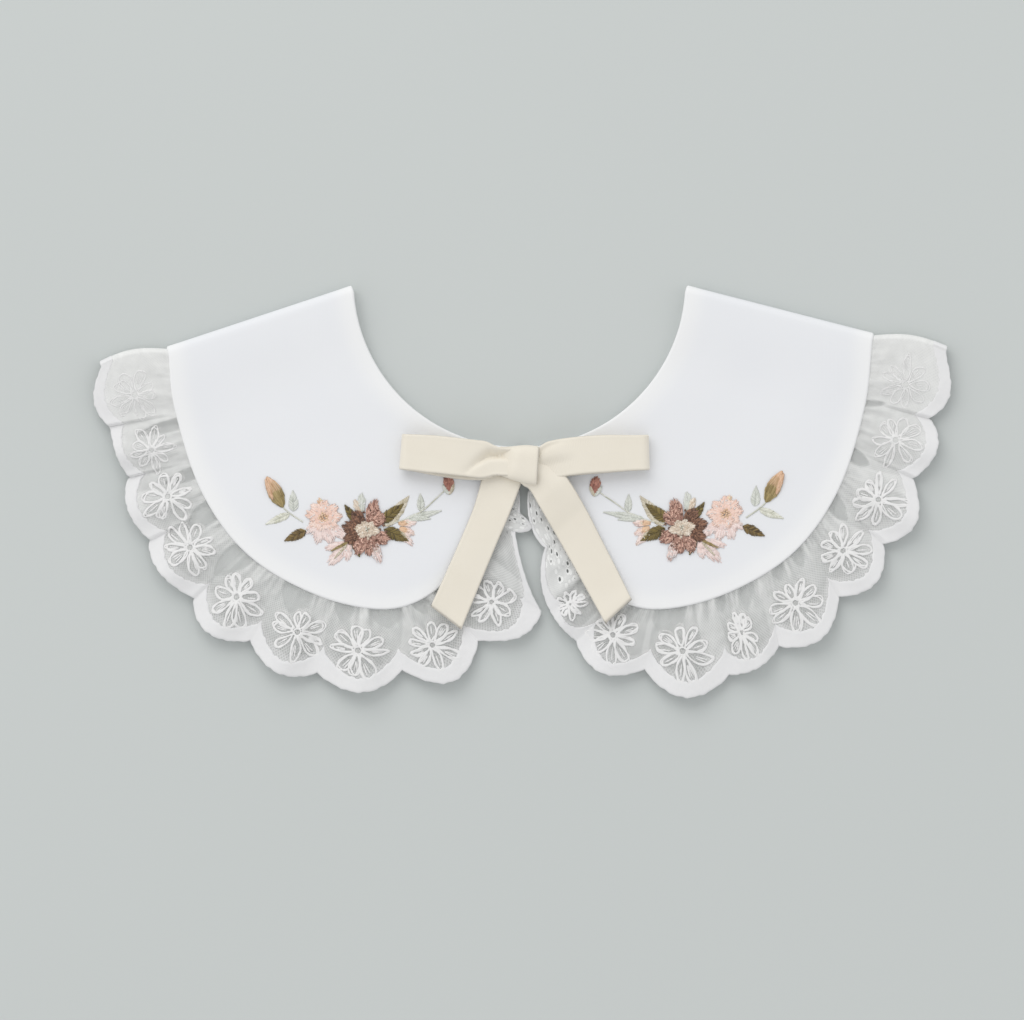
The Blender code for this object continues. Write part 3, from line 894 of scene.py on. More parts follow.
@dataclass
class LaceRuffle:
    """One gathered lace ruffle: net, a satin-stitched scalloped border, flowers and pressed folds."""

    form: CollarForm
    net: bpy.types.Material
    satin: bpy.types.Material
    cording: bpy.types.Material
    steps: int = 40
    rows: int = 30
    fold_steps: int = 7
    border_middle: float = 0.88
    border_half_wall: float = 0.25
    petals: int = 9
    cord: float = 0.27
    cord_height: float = 0.55
    wedge_drop: float = 0.22
    patch: float = 0.12
    doubling: float = 0.20
    net_reach: tuple[float, float] = (-0.02, 0.985)
    scallop_cm: float = 1.6
    depth_cm: float = 2.2
    border_steps: int = 36
    border_rows: tuple = (0.0, 0.02, 0.06, 0.14, 0.3, 0.5, 0.7, 0.86, 0.94, 0.98, 1.0)
    border_cm: float = 1.75
    density_steps: tuple = (0.0, 1.0, 1.7, 2.6, 3.5, 8.0, 9.2, 10.0, 11.0)
    densities: tuple = (0.86, 0.74, 0.60, 0.48, 0.34, 0.24, 0.28, 0.48, 0.54)

    def wedge_reach(self, wedge: Wedge, r: np.ndarray) -> np.ndarray:
        """Return half of a wedge's width at a reach: h(1 - (r/depth)^2.5)."""
        return wedge.half_width * (1.0 - np.clip(r / wedge.depth, 0.0, 1.0) ** 2.5)

    def wedge_share(self, a: np.ndarray, r: np.ndarray) -> np.ndarray:
        """Return 1 within the wedges and 0 outside, crisp at one side and softer at the other."""
        found = np.zeros(np.broadcast(a, r).shape)
        for wedge in WEDGES[self.form.side]:
            off = a - wedge.along - wedge.lean * r
            half = self.wedge_reach(wedge, r)
            inside = smooth_step((off + half) / 0.03) * smooth_step((half - off) / 0.07)
            found = np.maximum(found, inside * (r < wedge.depth))
        return found

    def fold_share(self, a: np.ndarray, r: np.ndarray) -> np.ndarray:
        """Return 1 on the folds of doubled net that run from the seam to the border, and 0 beside them."""
        found = np.zeros(np.broadcast(a, r).shape)
        for fold in FOLDS[self.form.side]:
            off = np.abs(a - fold.along - fold.lean * r)
            found = np.maximum(found, smooth_step((fold.half_width - off) / 0.04) * (r < fold.depth))
        return found

    def flower_share(self, points: np.ndarray) -> np.ndarray:
        """Return 1 under the flowers, where the net shows through most, falling to 0 round them."""
        found = np.zeros(points.shape[:-1])
        for place in LACE_FLOWERS[self.form.side]:
            centre = self.form.lace(np.array([place.along]), np.array([place.reach]))[0]
            away = np.linalg.norm(points[..., :2] - centre[:2], axis=-1) / place.radius
            found = np.maximum(found, smooth_step((1.05 - away) / 0.5))
        return found

    def ground(self, a: np.ndarray, r: np.ndarray) -> tuple[np.ndarray, np.ndarray]:
        """Return the front net's points, and its density, cutwork and gathers as a colour."""
        wedge = self.wedge_share(a, r)
        points = self.form.lace(a, r)
        density = np.interp(a, self.density_steps, self.densities) * (1.0 - wedge * (1.0 - 0.3 * (a < 1.6)))
        density = density - self.patch * self.flower_share(points) * smooth_step((a - 1.0) / 2.0)
        density = density + self.doubling * self.fold_share(a, r) * (1.0 - wedge)
        points[..., 2] -= self.wedge_drop * wedge
        cutwork = smooth_step((a - CUTWORK_START[self.form.side]) / 0.3) * smooth_step((r - 0.05) / 0.1)
        density = np.maximum(density, 0.78 * cutwork)
        gathers = smooth_step(1.0 - r / 0.42) * (0.35 + 0.65 * smooth_step((a - 2.0) / 2.0))
        gathers = gathers * (1.0 - 0.7 * wedge)
        return points, np.stack([np.clip(density, 0.0, 1.0), cutwork, gathers], axis=-1)

    def build_net(self) -> bpy.types.Object:
        """Make the net ground, front and back in one folded sheet.


        Returns:
            The net's object.
        """
        form, count = self.form, self.form.scallops
        columns = np.linspace(0, count, count * self.steps + 1)
        a, r = np.meshgrid(columns, np.linspace(*self.net_reach, self.rows + 1), indexing="ij")
        front, look = self.ground(a, r)
        back = form.under_lace(a, r)
        turned = form.turn(front[0], back[0], self.fold_steps)
        sheet = np.concatenate([front[::-1], turned, back])
        bare = np.zeros_like(look)
        bare[..., 0] = 0.10 + 0.65 * (1.0 - smooth_step(a / 0.6))
        dense = np.ones_like(look[: self.fold_steps]) * [0.97, 0.0, 0.0]
        pattern = np.stack([a * self.scallop_cm, r * self.depth_cm], axis=-1)
        round_along = -0.02 * np.arange(1, self.fold_steps + 1)[:, None]
        round_out = r[: self.fold_steps] * self.depth_cm
        round_fold = np.stack(np.broadcast_arrays(round_along, round_out), axis=-1)
        draft = MeshDraft()
        draft.add(
            sheet,
            grid_quads(*sheet.shape[:2]),
            np.concatenate([pattern[::-1], round_fold, pattern * [-1.0, 1.0] - [0.16, 0.0]]),
            np.concatenate([look[::-1], dense, bare]),
        )
        name = form.side.label
        item = draft.build(f"lace_net_{name}", form.side, self.net)
        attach(item, "root")
        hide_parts(f"ruffle_{name}")
        return item

    def border_start(self, a: np.ndarray) -> np.ndarray:
        """Return the reach where the border begins: cusp + (middle - cusp)|sin(pi a)|^0.6, a little ragged."""
        cusp = np.interp(a, np.arange(self.form.scallops + 1), BORDER_CUSPS[self.form.side])
        wave = np.abs(np.sin(math.pi * a)) ** 0.6
        ragged = 0.006 * np.sin(TAU * 7.3 * a) + 0.005 * np.sin(TAU * 12.1 * a + 1.0)
        middle = self.border_middle + 0.05 * smooth_step((a - 9.6) / 0.8)
        return cusp + (middle - cusp) * wave + ragged

    def build_border(self) -> bpy.types.Object:
        """Make the satin-stitched border of both layers.

        Returns:
            The border's object.
        """
        form, count = self.form, self.form.scallops
        columns = np.linspace(0.0, count, count * self.border_steps + 1)
        along, share = np.meshgrid(columns, np.array(self.border_rows), indexing="ij")
        begin = self.border_start(along)
        uneven = 0.0035 * np.sin(TAU * 5.3 * along) + 0.0025 * np.sin(TAU * 9.7 * along + 2.0)
        reach = begin + (1.0 + uneven - begin) * share
        front, back = form.lace(along, reach), form.under_lace(along, reach)
        turned = form.turn(front[0], back[0], self.fold_steps)
        middle = np.concatenate([front[::-1], turned, back])
        near = np.minimum(share, 1.0 - share) * 22.0 * (1.0 - begin)
        bead = 1.0 + 0.2 * np.exp(-(((near - 0.5) / 0.35) ** 2))
        thinner = 0.35 + 0.65 * smooth_step(along / 1.6) * (1.0 - 0.5 * smooth_step((along - 9.5) / 0.8))
        half = self.border_half_wall * rounded(near, 0.4) * bead * thinner
        half = np.concatenate([half[::-1], np.repeat(half[:1], self.fold_steps, axis=0), half])
        half[0] = half[-1] = 0.0
        half[:, 0] = half[:, -1] = 0.0
        rings = shell_rings(middle, half)
        walk = np.concatenate([along[::-1], np.full_like(along[: self.fold_steps], -0.1), -along]) * self.border_cm
        pattern = np.stack([walk, np.concatenate([share, share[: self.fold_steps], share])], axis=-1)
        pattern = both_faces(pattern, pattern)
        draft = MeshDraft()
        draft.add(rings, grid_quads(*rings.shape[:2], ring=True), pattern)
        item = draft.build(f"lace_border_{form.side.label}", form.side, self.satin, merge=True)
        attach(item, "root")
        return item

    def petal_loops(self, rng: np.random.Generator, radius: float) -> tuple[np.ndarray, np.ndarray]:
        """Return the cords of one flower in its own plane: looped teardrops round a small ring, and fillings.

        A petal's outline is x = L(0.15 + 0.85(1 - cos t)/2), y = W sin(t) sin(t/2)^0.7, turned to its place,
        with a wobble of 0.22 mm. It is worked twice, a little smaller the second time. A filling is a straight
        run of thread inside a petal.

        Args:
            rng: gives each petal its small differences.
            radius: the flower's radius.

        Returns:
            The closed cords and the straight ones.
        """
        petals = self.petals
        t = np.linspace(0.0, TAU, 24, endpoint=False)[None]
        length = radius * rng.uniform(0.78, 1.10, (petals, 1))
        wide = radius * 0.205 * rng.uniform(0.65, 1.25, (petals, 1))
        turn = (np.arange(petals)[:, None] + rng.uniform(-0.24, 0.24, (petals, 1))) * TAU / petals
        turn = turn + rng.uniform(0, TAU)
        made = []
        for shrink in (1.0, 0.94):
            x = length * (0.15 + 0.85 * shrink * (1.0 - np.cos(t)) / 2.0)
            y = wide * shrink * np.sin(t) * np.abs(np.sin(t / 2.0)) ** 0.7
            x = x + 0.22 * np.sin(3 * t + rng.uniform(0, TAU, (petals, 1)))
            y = y + 0.22 * np.sin(2 * t + rng.uniform(0, TAU, (petals, 1)))
            made.append(turned_by(x, y, turn))
        loops = np.concatenate(made)
        ring = on_circle(t) * radius * 0.13
        part = np.linspace(0.0, 1.0, 8)[None]
        runs = []
        for k, offset in ((0, 0.0), (1, 0.3), (2, -0.3)):
            kept = rng.uniform(0, 1, petals) < (0.65, 0.4, 0.4)[k]
            u = length * (0.42 + 0.42 * part)
            v = wide * offset * (0.6 + 0.8 * part)
            runs.append(turned_by(u, v, turn)[kept])
        return np.concatenate([loops, ring]), np.concatenate(runs)

    def on_lace(
        self, surface: Surface, place: FlowerPlace, flat: np.ndarray
    ) -> tuple[np.ndarray, np.ndarray]:
        """Return where a flower's plane points lie on the ruffle, as places along and out.

        Args:
            surface: the ruffle's layer.
            place: the flower's place.
            flat: points in the flower's plane, in millimetres.

        Returns:
            Along and reach for each point.
        """
        a0, r0 = np.array([place.along]), np.array([place.reach])
        by_along = (surface(a0 + 0.2, r0)[0] - surface(a0 - 0.2, r0)[0]) / 0.4
        by_reach = (surface(a0, r0 + 0.1)[0] - surface(a0, r0 - 0.1)[0]) / 0.2
        basis = np.stack([by_along[:2], by_reach[:2]], axis=1)
        left, _, right = np.linalg.svd(basis)
        squeezed = flat * np.array([place.narrow, 1.0])
        shift = np.linalg.solve(basis, (squeezed @ (left @ right).T).reshape(-1, 2).T).T.reshape(flat.shape)
        a = np.clip(place.along + shift[..., 0], 0.03, self.form.scallops - 0.03)
        return a, np.clip(place.reach + shift[..., 1], 0.03, 0.965)

    def add_cords(
        self,
        draft: MeshDraft,
        surface: Surface,
        a: np.ndarray,
        r: np.ndarray,
        width: float,
        up: float,
        loop: bool,
    ) -> None:
        """Add cords that lie on a layer of the ruffle, tapered at both ends where they don't close.

        A cord's half-height is cord_height times its half-width, and it swells and thins by three tenths.

        Args:
            draft: what they are added to.
            surface: the ruffle's layer.
            a: places along, one row for each cord.
            r: places out.
            width: half of a cord's width.
            up: 1 for the side that faces up, -1 for the one that faces down.
            loop: whether the cords close on themselves.
        """
        path = surface(a, r)
        normal = self.form.normals(surface, a, r)
        if surface == self.form.lace:
            path[..., 2] -= self.wedge_drop * self.wedge_share(a, r)
        if loop:
            ahead = unit(np.roll(path, -1, axis=1) - np.roll(path, 1, axis=1))
            taper = np.ones(a.shape[1])
        else:
            ahead = unit(np.gradient(path, axis=1))
            taper = np.sqrt(np.sin(math.pi * np.linspace(0.0, 1.0, a.shape[1])).clip(0, 1) + 1e-9)
        path = path + normal * (0.48 * width * up)
        beside = unit(np.cross(ahead, normal))
        ring = np.linspace(0.0, TAU, 6, endpoint=False)
        swell = (taper * (1.0 + 0.3 * np.sin(190.0 * a + 83.0 * r)))[..., None]
        tube = (
            path[:, :, None]
            + beside[:, :, None] * (swell * width * np.cos(ring))[..., None]
            + normal[:, :, None] * (swell * self.cord_height * width * np.sin(ring))[..., None]
        )
        draft.add_many(tube, grid_quads(tube.shape[1], len(ring), ring=True, loop=loop))

    def build_flowers(self) -> bpy.types.Object:
        """Make the looped flowers of both layers, fainter near the shoulder.

        Returns:
            The flowers' object.
        """
        form = self.form
        rng = np.random.default_rng(FLOWER_SEED[form.side])
        draft = MeshDraft()
        for place in LACE_FLOWERS[form.side]:
            loops, runs = self.petal_loops(rng, place.radius)
            cord = self.cord * float(np.interp(place.along, (0.6, 1.6, 2.4), (0.45, 0.65, 1.0)))
            for surface, cords, width, up, loop in (
                (form.lace, loops, cord, 1.0, True),
                (form.lace, runs, 0.75 * cord, 1.0, False),
                (form.under_lace, loops, cord, -1.0, True),
            ):
                self.add_cords(draft, surface, *self.on_lace(surface, place, cords), width, up, loop)
        item = draft.build(f"lace_flowers_{form.side.label}", form.side, self.cording, merge=True)
        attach(item, "root")
        return item


# The embroidered sprays


class Colour(Enum):
    """The spray's thread colours, each a dark and a light."""

    OLIVE = (from_srgb(68, 54, 18), from_srgb(138, 120, 62))
    BROWN = (from_srgb(78, 60, 30), from_srgb(146, 122, 70))
    SAGE = (from_srgb(210, 211, 193), from_srgb(240, 240, 230))
    PALE_SAGE = (from_srgb(206, 210, 200), from_srgb(230, 232, 226))
    BEIGE = (from_srgb(190, 180, 154), from_srgb(230, 222, 206))
    MAUVE = (from_srgb(78, 48, 32), from_srgb(156, 114, 90))
    ROSE = (from_srgb(132, 88, 74), from_srgb(228, 186, 168))
    PINK = (from_srgb(242, 206, 190), from_srgb(254, 234, 224))
    BLUSH = (from_srgb(238, 214, 208), from_srgb(252, 238, 234))
    CREAM = (from_srgb(208, 188, 166), from_srgb(248, 238, 224))
    PEACH = (from_srgb(226, 188, 154), from_srgb(246, 218, 188))
    GOLD = (from_srgb(126, 110, 63), from_srgb(183, 163, 113))
    RUST = (from_srgb(158, 102, 90), from_srgb(208, 152, 134))
    ORANGE = (from_srgb(208, 162, 124), from_srgb(238, 206, 178))


class Motif(NamedTuple):
    """A stitched leaf or petal, from its root to its tip."""

    root: tuple[float, float]
    tip: tuple[float, float]
    width: float
    colour: Colour
    level: float = 0.0
    end_colour: Colour | None = None


class Stitch(Enum):
    """How a motif's threads lie."""

    LEAF = "from the middle rib out to both sides"
    PETAL = "spreading lengthwise from the root"
    SPINDLE = "lengthwise, gathered at both ends"


SPRAY = (
    (
        Stitch.LEAF,
        (
            Motif((60.9, -62.3), (61.2, -56.5), 2.8, Colour.PALE_SAGE),
            Motif((62.0, -62.9), (68.6, -65.7), 2.3, Colour.SAGE),
            Motif((57.5, -67.3), (63.5, -70.2), 2.8, Colour.BROWN, 0.1),
            Motif((31.2, -64.7), (21.0, -62.0), 2.3, Colour.PALE_SAGE),
            Motif((26.6, -62.3), (26.8, -57.4), 2.2, Colour.PALE_SAGE),
            Motif((29.6, -64.0), (24.0, -64.2), 1.7, Colour.PALE_SAGE),
            Motif((35.9, -66.0), (29.8, -58.0), 3.6, Colour.BEIGE),
            Motif((36.6, -66.2), (31.9, -63.0), 2.2, Colour.BEIGE),
        ),
    ),
    (
        Stitch.PETAL,
        (
            Motif((42.6, -63.0), (42.7, -57.6), 2.3, Colour.PALE_SAGE),
            Motif((42.6, -63.0), (44.6, -59.2), 2.0, Colour.CREAM),
            Motif((32.9, -65.5), (28.1, -65.3), 2.0, Colour.PEACH, 0.02, Colour.BLUSH),
            Motif((32.6, -66.6), (28.4, -68.4), 2.2, Colour.PEACH, 0.02, Colour.BLUSH),
            Motif((32.8, -67.4), (28.9, -71.2), 2.2, Colour.BEIGE, 0.02, Colour.BLUSH),
            Motif((46.0, -70.6), (52.8, -72.4), 2.3, Colour.BLUSH),
            Motif((46.0, -70.8), (51.4, -76.4), 3.3, Colour.BLUSH),
            Motif((45.8, -70.8), (46.8, -75.4), 2.4, Colour.BLUSH),
            Motif((52.8, -65.1), (57.4, -67.8), 3.3, Colour.BLUSH),
            Motif((52.8, -65.1), (54.8, -70.6), 3.4, Colour.BLUSH),
            Motif((52.6, -65.1), (50.8, -70.9), 3.4, Colour.BLUSH),
            Motif((52.4, -65.1), (47.9, -68.8), 3.2, Colour.BLUSH),
            Motif((50.6, -66.0), (46.6, -69.6), 2.8, Colour.BLUSH),
            Motif((53.0, -62.0), (54.1, -58.8), 1.9, Colour.BLUSH, 0.0, Colour.PEACH),
        ),
    ),
    (
        Stitch.LEAF,
        (
            Motif((46.3, -70.5), (50.9, -72.9), 0.9, Colour.GOLD, 0.3),
            Motif((46.6, -71.2), (50.0, -74.9), 0.8, Colour.BEIGE, 0.3),
            Motif((44.1, -65.1), (47.2, -60.4), 2.3, Colour.OLIVE, 0.2),
            Motif((37.6, -65.2), (31.3, -60.2), 3.2, Colour.OLIVE, 0.24),
            Motif((36.7, -66.9), (29.9, -70.2), 3.4, Colour.OLIVE, 0.24),
            Motif((44.6, -70.0), (43.2, -74.5), 2.2, Colour.OLIVE, 0.2),
        ),
    ),
    (
        Stitch.PETAL,
        (
            Motif((53.4, -63.8), (57.6, -62.6), 3.2, Colour.PINK, 0.12),
            Motif((53.2, -63.4), (56.0, -60.4), 3.0, Colour.PINK, 0.14),
            Motif((52.9, -63.2), (52.6, -59.2), 3.1, Colour.PINK, 0.12),
            Motif((52.5, -63.4), (49.4, -60.6), 3.0, Colour.PINK, 0.15),
            Motif((52.4, -63.8), (48.0, -63.6), 3.2, Colour.PINK, 0.12),
            Motif((52.6, -64.2), (49.6, -67.0), 3.1, Colour.PINK, 0.14),
            Motif((53.0, -64.2), (53.8, -67.6), 3.0, Colour.PINK, 0.12),
            Motif((53.3, -64.1), (56.6, -66.2), 2.9, Colour.PINK, 0.13),
            Motif((40.9, -66.0), (38.8, -59.4), 3.6, Colour.ROSE, 0.3),
            Motif((40.4, -66.4), (36.6, -62.9), 3.8, Colour.ROSE, 0.34),
            Motif((41.9, -66.2), (45.0, -62.3), 3.8, Colour.MAUVE, 0.3),
            Motif((42.3, -67.0), (47.8, -66.2), 3.8, Colour.MAUVE, 0.34),
            Motif((42.3, -67.8), (47.2, -70.2), 3.7, Colour.MAUVE, 0.3),
            Motif((41.7, -68.4), (44.0, -73.6), 3.8, Colour.ROSE, 0.34),
            Motif((41.0, -68.5), (40.6, -73.8), 3.6, Colour.ROSE, 0.3),
            Motif((40.6, -68.4), (37.8, -75.6), 3.0, Colour.ROSE, 0.26, Colour.BLUSH),
            Motif((40.2, -67.8), (35.4, -70.3), 3.9, Colour.ROSE, 0.34),
            Motif((41.2, -67.2), (39.4, -65.2), 2.3, Colour.CREAM, 0.56),
            Motif((41.2, -67.2), (42.4, -65.0), 2.3, Colour.CREAM, 0.6),
            Motif((41.2, -67.2), (44.7, -66.6), 2.6, Colour.CREAM, 0.56),
            Motif((41.2, -67.2), (43.4, -69.0), 2.4, Colour.CREAM, 0.6),
            Motif((41.2, -67.2), (40.3, -69.1), 2.4, Colour.CREAM, 0.56),
            Motif((41.2, -67.2), (37.8, -67.7), 2.6, Colour.CREAM, 0.6),
        ),
    ),
    (
        Stitch.SPINDLE,
        (
            Motif((63.8, -61.2), (68.3, -52.7), 4.3, Colour.GOLD, 0.12, Colour.ORANGE),
            Motif((66.5, -59.2), (68.7, -53.4), 1.4, Colour.ORANGE, 0.3),
            Motif((19.0, -57.7), (17.7, -54.6), 1.3, Colour.BEIGE),
            Motif((19.0, -57.7), (20.8, -54.9), 1.3, Colour.PALE_SAGE),
        ),
    ),
    (Stitch.PETAL, (Motif((18.9, -57.0), (19.3, -52.5), 2.9, Colour.RUST, 0.14),)),
)
STEMS = (
    ((64.0, -61.0), (61.8, -62.9), (58.4, -65.1)),
    ((36.8, -65.9), (31.2, -64.5), (26.3, -62.1), (22.8, -59.0), (19.6, -56.0)),
)
STITCH_SEED = {Side.LEFT: 31, Side.RIGHT: 47}


@dataclass
class EmbroiderySpray:
    """One embroidered spray on the front of a cotton half."""

    form: CollarForm
    material: bpy.types.Material
    shift: tuple[float, float] = (0.0, 0.0)
    lean: float = 0.0
    tuck: float = 0.0
    strand: float = 0.30
    spacing: float = 0.22
    loft: float = 0.34

    def __post_init__(self) -> None:
        """Start the draft and the small differences between stitches."""
        self.draft = MeshDraft()
        self.rng = np.random.default_rng(STITCH_SEED[self.form.side])

    def stitch(
        self,
        start: np.ndarray,
        end: np.ndarray,
        level: np.ndarray,
        dark: np.ndarray,
        light: np.ndarray,
        width: float,
    ) -> None:
        """Add straight satin stitches, each an arched thread that dips into the cloth at both ends.

        A stitch's height is level + loft * (1 - (2t - 1)^4), and its section is a flat diamond.

        Args:
            start: where each stitch begins, in plan.
            end: where each ends.
            level: how far each lies over the cloth.
            dark: its darkest colour, one for each.
            light: its lightest colour, one for each.
            width: the thread's width.
        """
        t = np.array([0.0, 0.12, 0.5, 0.88, 1.0])
        many = len(start)
        plan = start[:, None] + (end - start)[:, None] * t[None, :, None]
        plan[..., 0] -= self.tuck * smooth_step((25.5 - plan[..., 0]) / 6.0)
        plan = plan + np.array(self.shift)
        plan[..., 1] += self.lean * (plan[..., 0] - 41.2)
        base = 2.0 * self.form.cotton_wall + self.form.layer_gap - 0.14
        ground = base + self.form.cloth_wave(plan[..., 0], plan[..., 1])
        arch = 1.0 - (2.0 * t - 1.0) ** 4
        height = ground + np.asarray(level)[:, None] + self.loft * arch - 0.05
        ahead = unit(end - start)
        beside = quarter_turn(ahead)
        w = 0.5 * width * np.array([0.25, 0.9, 1.0, 0.9, 0.25])
        section = np.array([[1.0, 0.0], [0.0, 0.5], [-1.0, 0.0], [0.0, -0.5]])
        points = np.empty((many, len(t), 4, 3))
        out = (w[:, None] * section[:, 0])[None, ..., None]
        points[..., :2] = plan[:, :, None] + beside[:, None, None] * out
        points[..., 2] = height[:, :, None] + (w[:, None] * section[:, 1])[None]
        share = np.clip(self.rng.normal(0.5, 0.36, (many, 1)), 0, 1)
        colour = dark * (1 - share) + light * share
        tint = np.broadcast_to(colour[:, None, None], points.shape).copy()
        self.draft.add_many(points, grid_quads(len(t), 4, ring=True), tint)

    def shades(self, motif: Motif, t: np.ndarray) -> tuple[np.ndarray, np.ndarray]:
        """Return each stitch's dark and light, that change to the end colour past the middle."""
        share = smooth_step((t - 0.35) / 0.5)[:, None] * (motif.end_colour is not None)
        last = motif.end_colour or motif.colour
        pairs = zip(motif.colour.value, last.value)
        dark, light = (np.array(a)[None] * (1 - share) + np.array(b)[None] * share for a, b in pairs)
        return dark, light

    def frame_of(self, motif: Motif) -> tuple[np.ndarray, np.ndarray, np.ndarray, float]:
        """Return a motif's root, its direction, the direction across it and its length."""
        root = np.array(motif.root)
        run = np.array(motif.tip) - root
        length = float(np.linalg.norm(run))
        ahead = run / length
        return root, ahead, quarter_turn(ahead), length

    def leaf(self, motif: Motif) -> None:
        """Stitch a leaf: threads from the rib out to an outline of half-width W sin(pi t^0.75)^0.8 / 2."""
        root, ahead, beside, length = self.frame_of(motif)
        count = max(6, int(length / self.spacing))
        for hand in (-1.0, 1.0):
            t = (np.arange(count) + self.rng.uniform(0.1, 0.9, count)) / count
            out = np.clip(t + 0.45 * motif.width / length, 0.0, 1.0)
            half = 0.5 * motif.width * np.sin(math.pi * out**0.75) ** 0.8
            half = half * self.rng.uniform(0.88, 1.08, count)
            start = root + ahead * (t * length)[:, None] * 0.98 - beside * hand * 0.08
            end = root + ahead * (out * length)[:, None] + beside * (hand * np.maximum(half, 0.12))[:, None]
            level = motif.level + self.rng.uniform(0, 0.06, count)
            self.stitch(start, end, level, *self.shades(motif, t), self.strand)

    def petal(self, motif: Motif) -> None:
        """Stitch a petal in three tiers of threads that end on L(1 - 0.34|s|^2.2) at the share s across."""
        root, ahead, beside, length = self.frame_of(motif)
        count = max(7, int(1.25 * motif.width / self.spacing))
        for first, last, lift in ((0.0, 0.7, 0.06), (0.25, 1.0, 0.0), (0.55, 1.02, 0.03)):
            s = (np.arange(count) + self.rng.uniform(0.2, 0.8, count)) / count * 2.0 - 1.0
            reach = length * (1.0 - 0.34 * np.abs(s) ** 2.2) * self.rng.uniform(0.84, 1.10, count)
            spread = 0.5 * motif.width * s
            t0 = first + self.rng.uniform(0.0, 0.1, count)
            t1 = last - self.rng.uniform(0.0, 0.12, count) * (last < 1.0)
            start, end = (
                root + ahead * (reach * t)[:, None] + beside * (spread * (0.25 + 0.75 * t**0.6))[:, None]
                for t in (t0, t1)
            )
            level = motif.level + lift + 0.1 * (1.0 - np.abs(s)) + self.rng.uniform(0, 0.05, count)
            dark, light = self.shades(motif, np.full(count, 0.5 * (first + last)))
            light = light if first else 0.5 * (dark + light)
            self.stitch(start, end, level, dark, light, self.strand)

    def spindle(self, motif: Motif) -> None:
        """Stitch a bud: lengthwise threads within an outline of half-width W sin(pi t^0.85)^0.75 / 2."""
        root, ahead, beside, length = self.frame_of(motif)
        count = max(5, int(1.4 * motif.width / self.spacing))
        for first, last, lift in ((0.0, 0.36, 0.0), (0.64, 1.0, 0.0), (0.24, 0.62, 0.06), (0.45, 0.82, 0.09)):
            s = (np.arange(count) + self.rng.uniform(0.2, 0.8, count)) / count * 2.0 - 1.0
            t0 = np.clip(first + self.rng.uniform(-0.06, 0.06, count), 0.01, 0.99)
            t1 = np.clip(last + self.rng.uniform(-0.06, 0.06, count), 0.01, 0.99)
            half = [0.5 * motif.width * np.sin(math.pi * t**0.85) ** 0.75 for t in (t0, t1)]
            start = root + ahead * (t0 * length)[:, None] + beside * (half[0] * s)[:, None]
            end = root + ahead * (t1 * length)[:, None] + beside * (half[1] * s)[:, None]
            level = motif.level + lift + 0.22 * (1.0 - s**2)
            self.stitch(start, end, level, *self.shades(motif, 0.5 * (t0 + t1)), self.strand)

    def speckle(self, motif: Motif, count: int) -> None:
        """Strew short stitches at all angles over a petal, dark and light, as small knots of thread."""
        root, ahead, beside, length = self.frame_of(motif)
        t, s = self.rng.uniform(0.25, 0.93, count), self.rng.uniform(-0.8, 0.8, count)
        wide = 0.5 * motif.width * (0.25 + 0.75 * t**0.6) * s
        out = t * length * (1.0 - 0.3 * np.abs(s) ** 2.2)
        middle = root + ahead * out[:, None] + beside * wide[:, None]
        angle = self.rng.uniform(0.0, TAU, count)
        half = on_circle(angle) * self.rng.uniform(0.26, 0.56, (count, 1))
        dark, light = self.shades(motif, t)
        level = motif.level + 0.2 + self.rng.uniform(0.0, 0.1, count)
        bright = np.minimum(light * 1.2, 0.9)
        self.stitch(middle - half, middle + half, level, dark * 0.8, bright, self.strand)

    def stem(self, points: tuple, colour: Colour, width: float) -> None:
        """Stitch a stem: short overlapping threads along a curve, each a little aslant."""
        line = through(points, 60)
        length = distances(line)[-1]
        count = max(4, int(length / 0.8))
        at = np.linspace(0.0, length - 0.6, count)
        start, end = at_distance(line, at), at_distance(line, np.minimum(at + 1.5, length))
        ahead = unit(end - start)
        beside = quarter_turn(ahead) * 0.06
        dark, light = (np.tile(c, (count, 1)) for c in colour.value)
        self.stitch(start - beside, end + beside, np.full(count, 0.03), dark * 0.9, light * 0.92, width)

    def knots(
        self, centre: tuple, spread: float, count: int, colour: Colour, level: float, size: float
    ) -> None:
        """Add small knots: short crossed stitches scattered within a circle.

        Args:
            centre: the circle's middle.
            spread: its radius.
            count: how many knots there are.
            colour: their colour.
            level: how far they lie over the cloth.
            size: how long each stitch is.
        """
        turn = np.arange(count) * GOLDEN_ANGLE
        out = spread * np.sqrt((np.arange(count) + 0.5) / count)
        middle = np.array(centre) + on_circle(turn) * out[:, None]
        dark, light = (np.tile(c, (count, 1)) for c in colour.value)
        for k in range(3):
            half = 0.5 * size * on_circle(turn * 3.1 + k * TAU / 6.0)
            lifted = np.full(count, level + 0.05 * k)
            self.stitch(middle - half, middle + half, lifted, dark, light, self.strand)

    def build(self) -> bpy.types.Object:
        """Stitch the spray and make it one piece.

        Returns:
            The spray's object.
        """
        ways = {Stitch.LEAF: self.leaf, Stitch.PETAL: self.petal, Stitch.SPINDLE: self.spindle}
        for points in STEMS:
            self.stem(points, Colour.SAGE, 0.34)
        for kind, motifs in SPRAY:
            for motif in motifs:
                ways[kind](motif)
                if kind is Stitch.PETAL and motif.colour is not Colour.CREAM:
                    self.speckle(motif, 30 if motif.level >= 0.26 else 3)
        self.knots((52.9, -63.8), 1.4, 14, Colour.PEACH, 0.32, 0.8)
        self.knots((41.2, -67.2), 5.6, 44, Colour.MAUVE, 0.46, 0.75)
        self.knots((41.2, -67.2), 2.4, 16, Colour.CREAM, 0.8, 0.9)
        self.knots((41.0, -67.0), 0.7, 4, Colour.SAGE, 0.95, 0.5)
        item = self.draft.build(f"embroidery_{self.form.side.label}", self.form.side, self.material)
        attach(item, "root")
        return item


# The ribbon bow


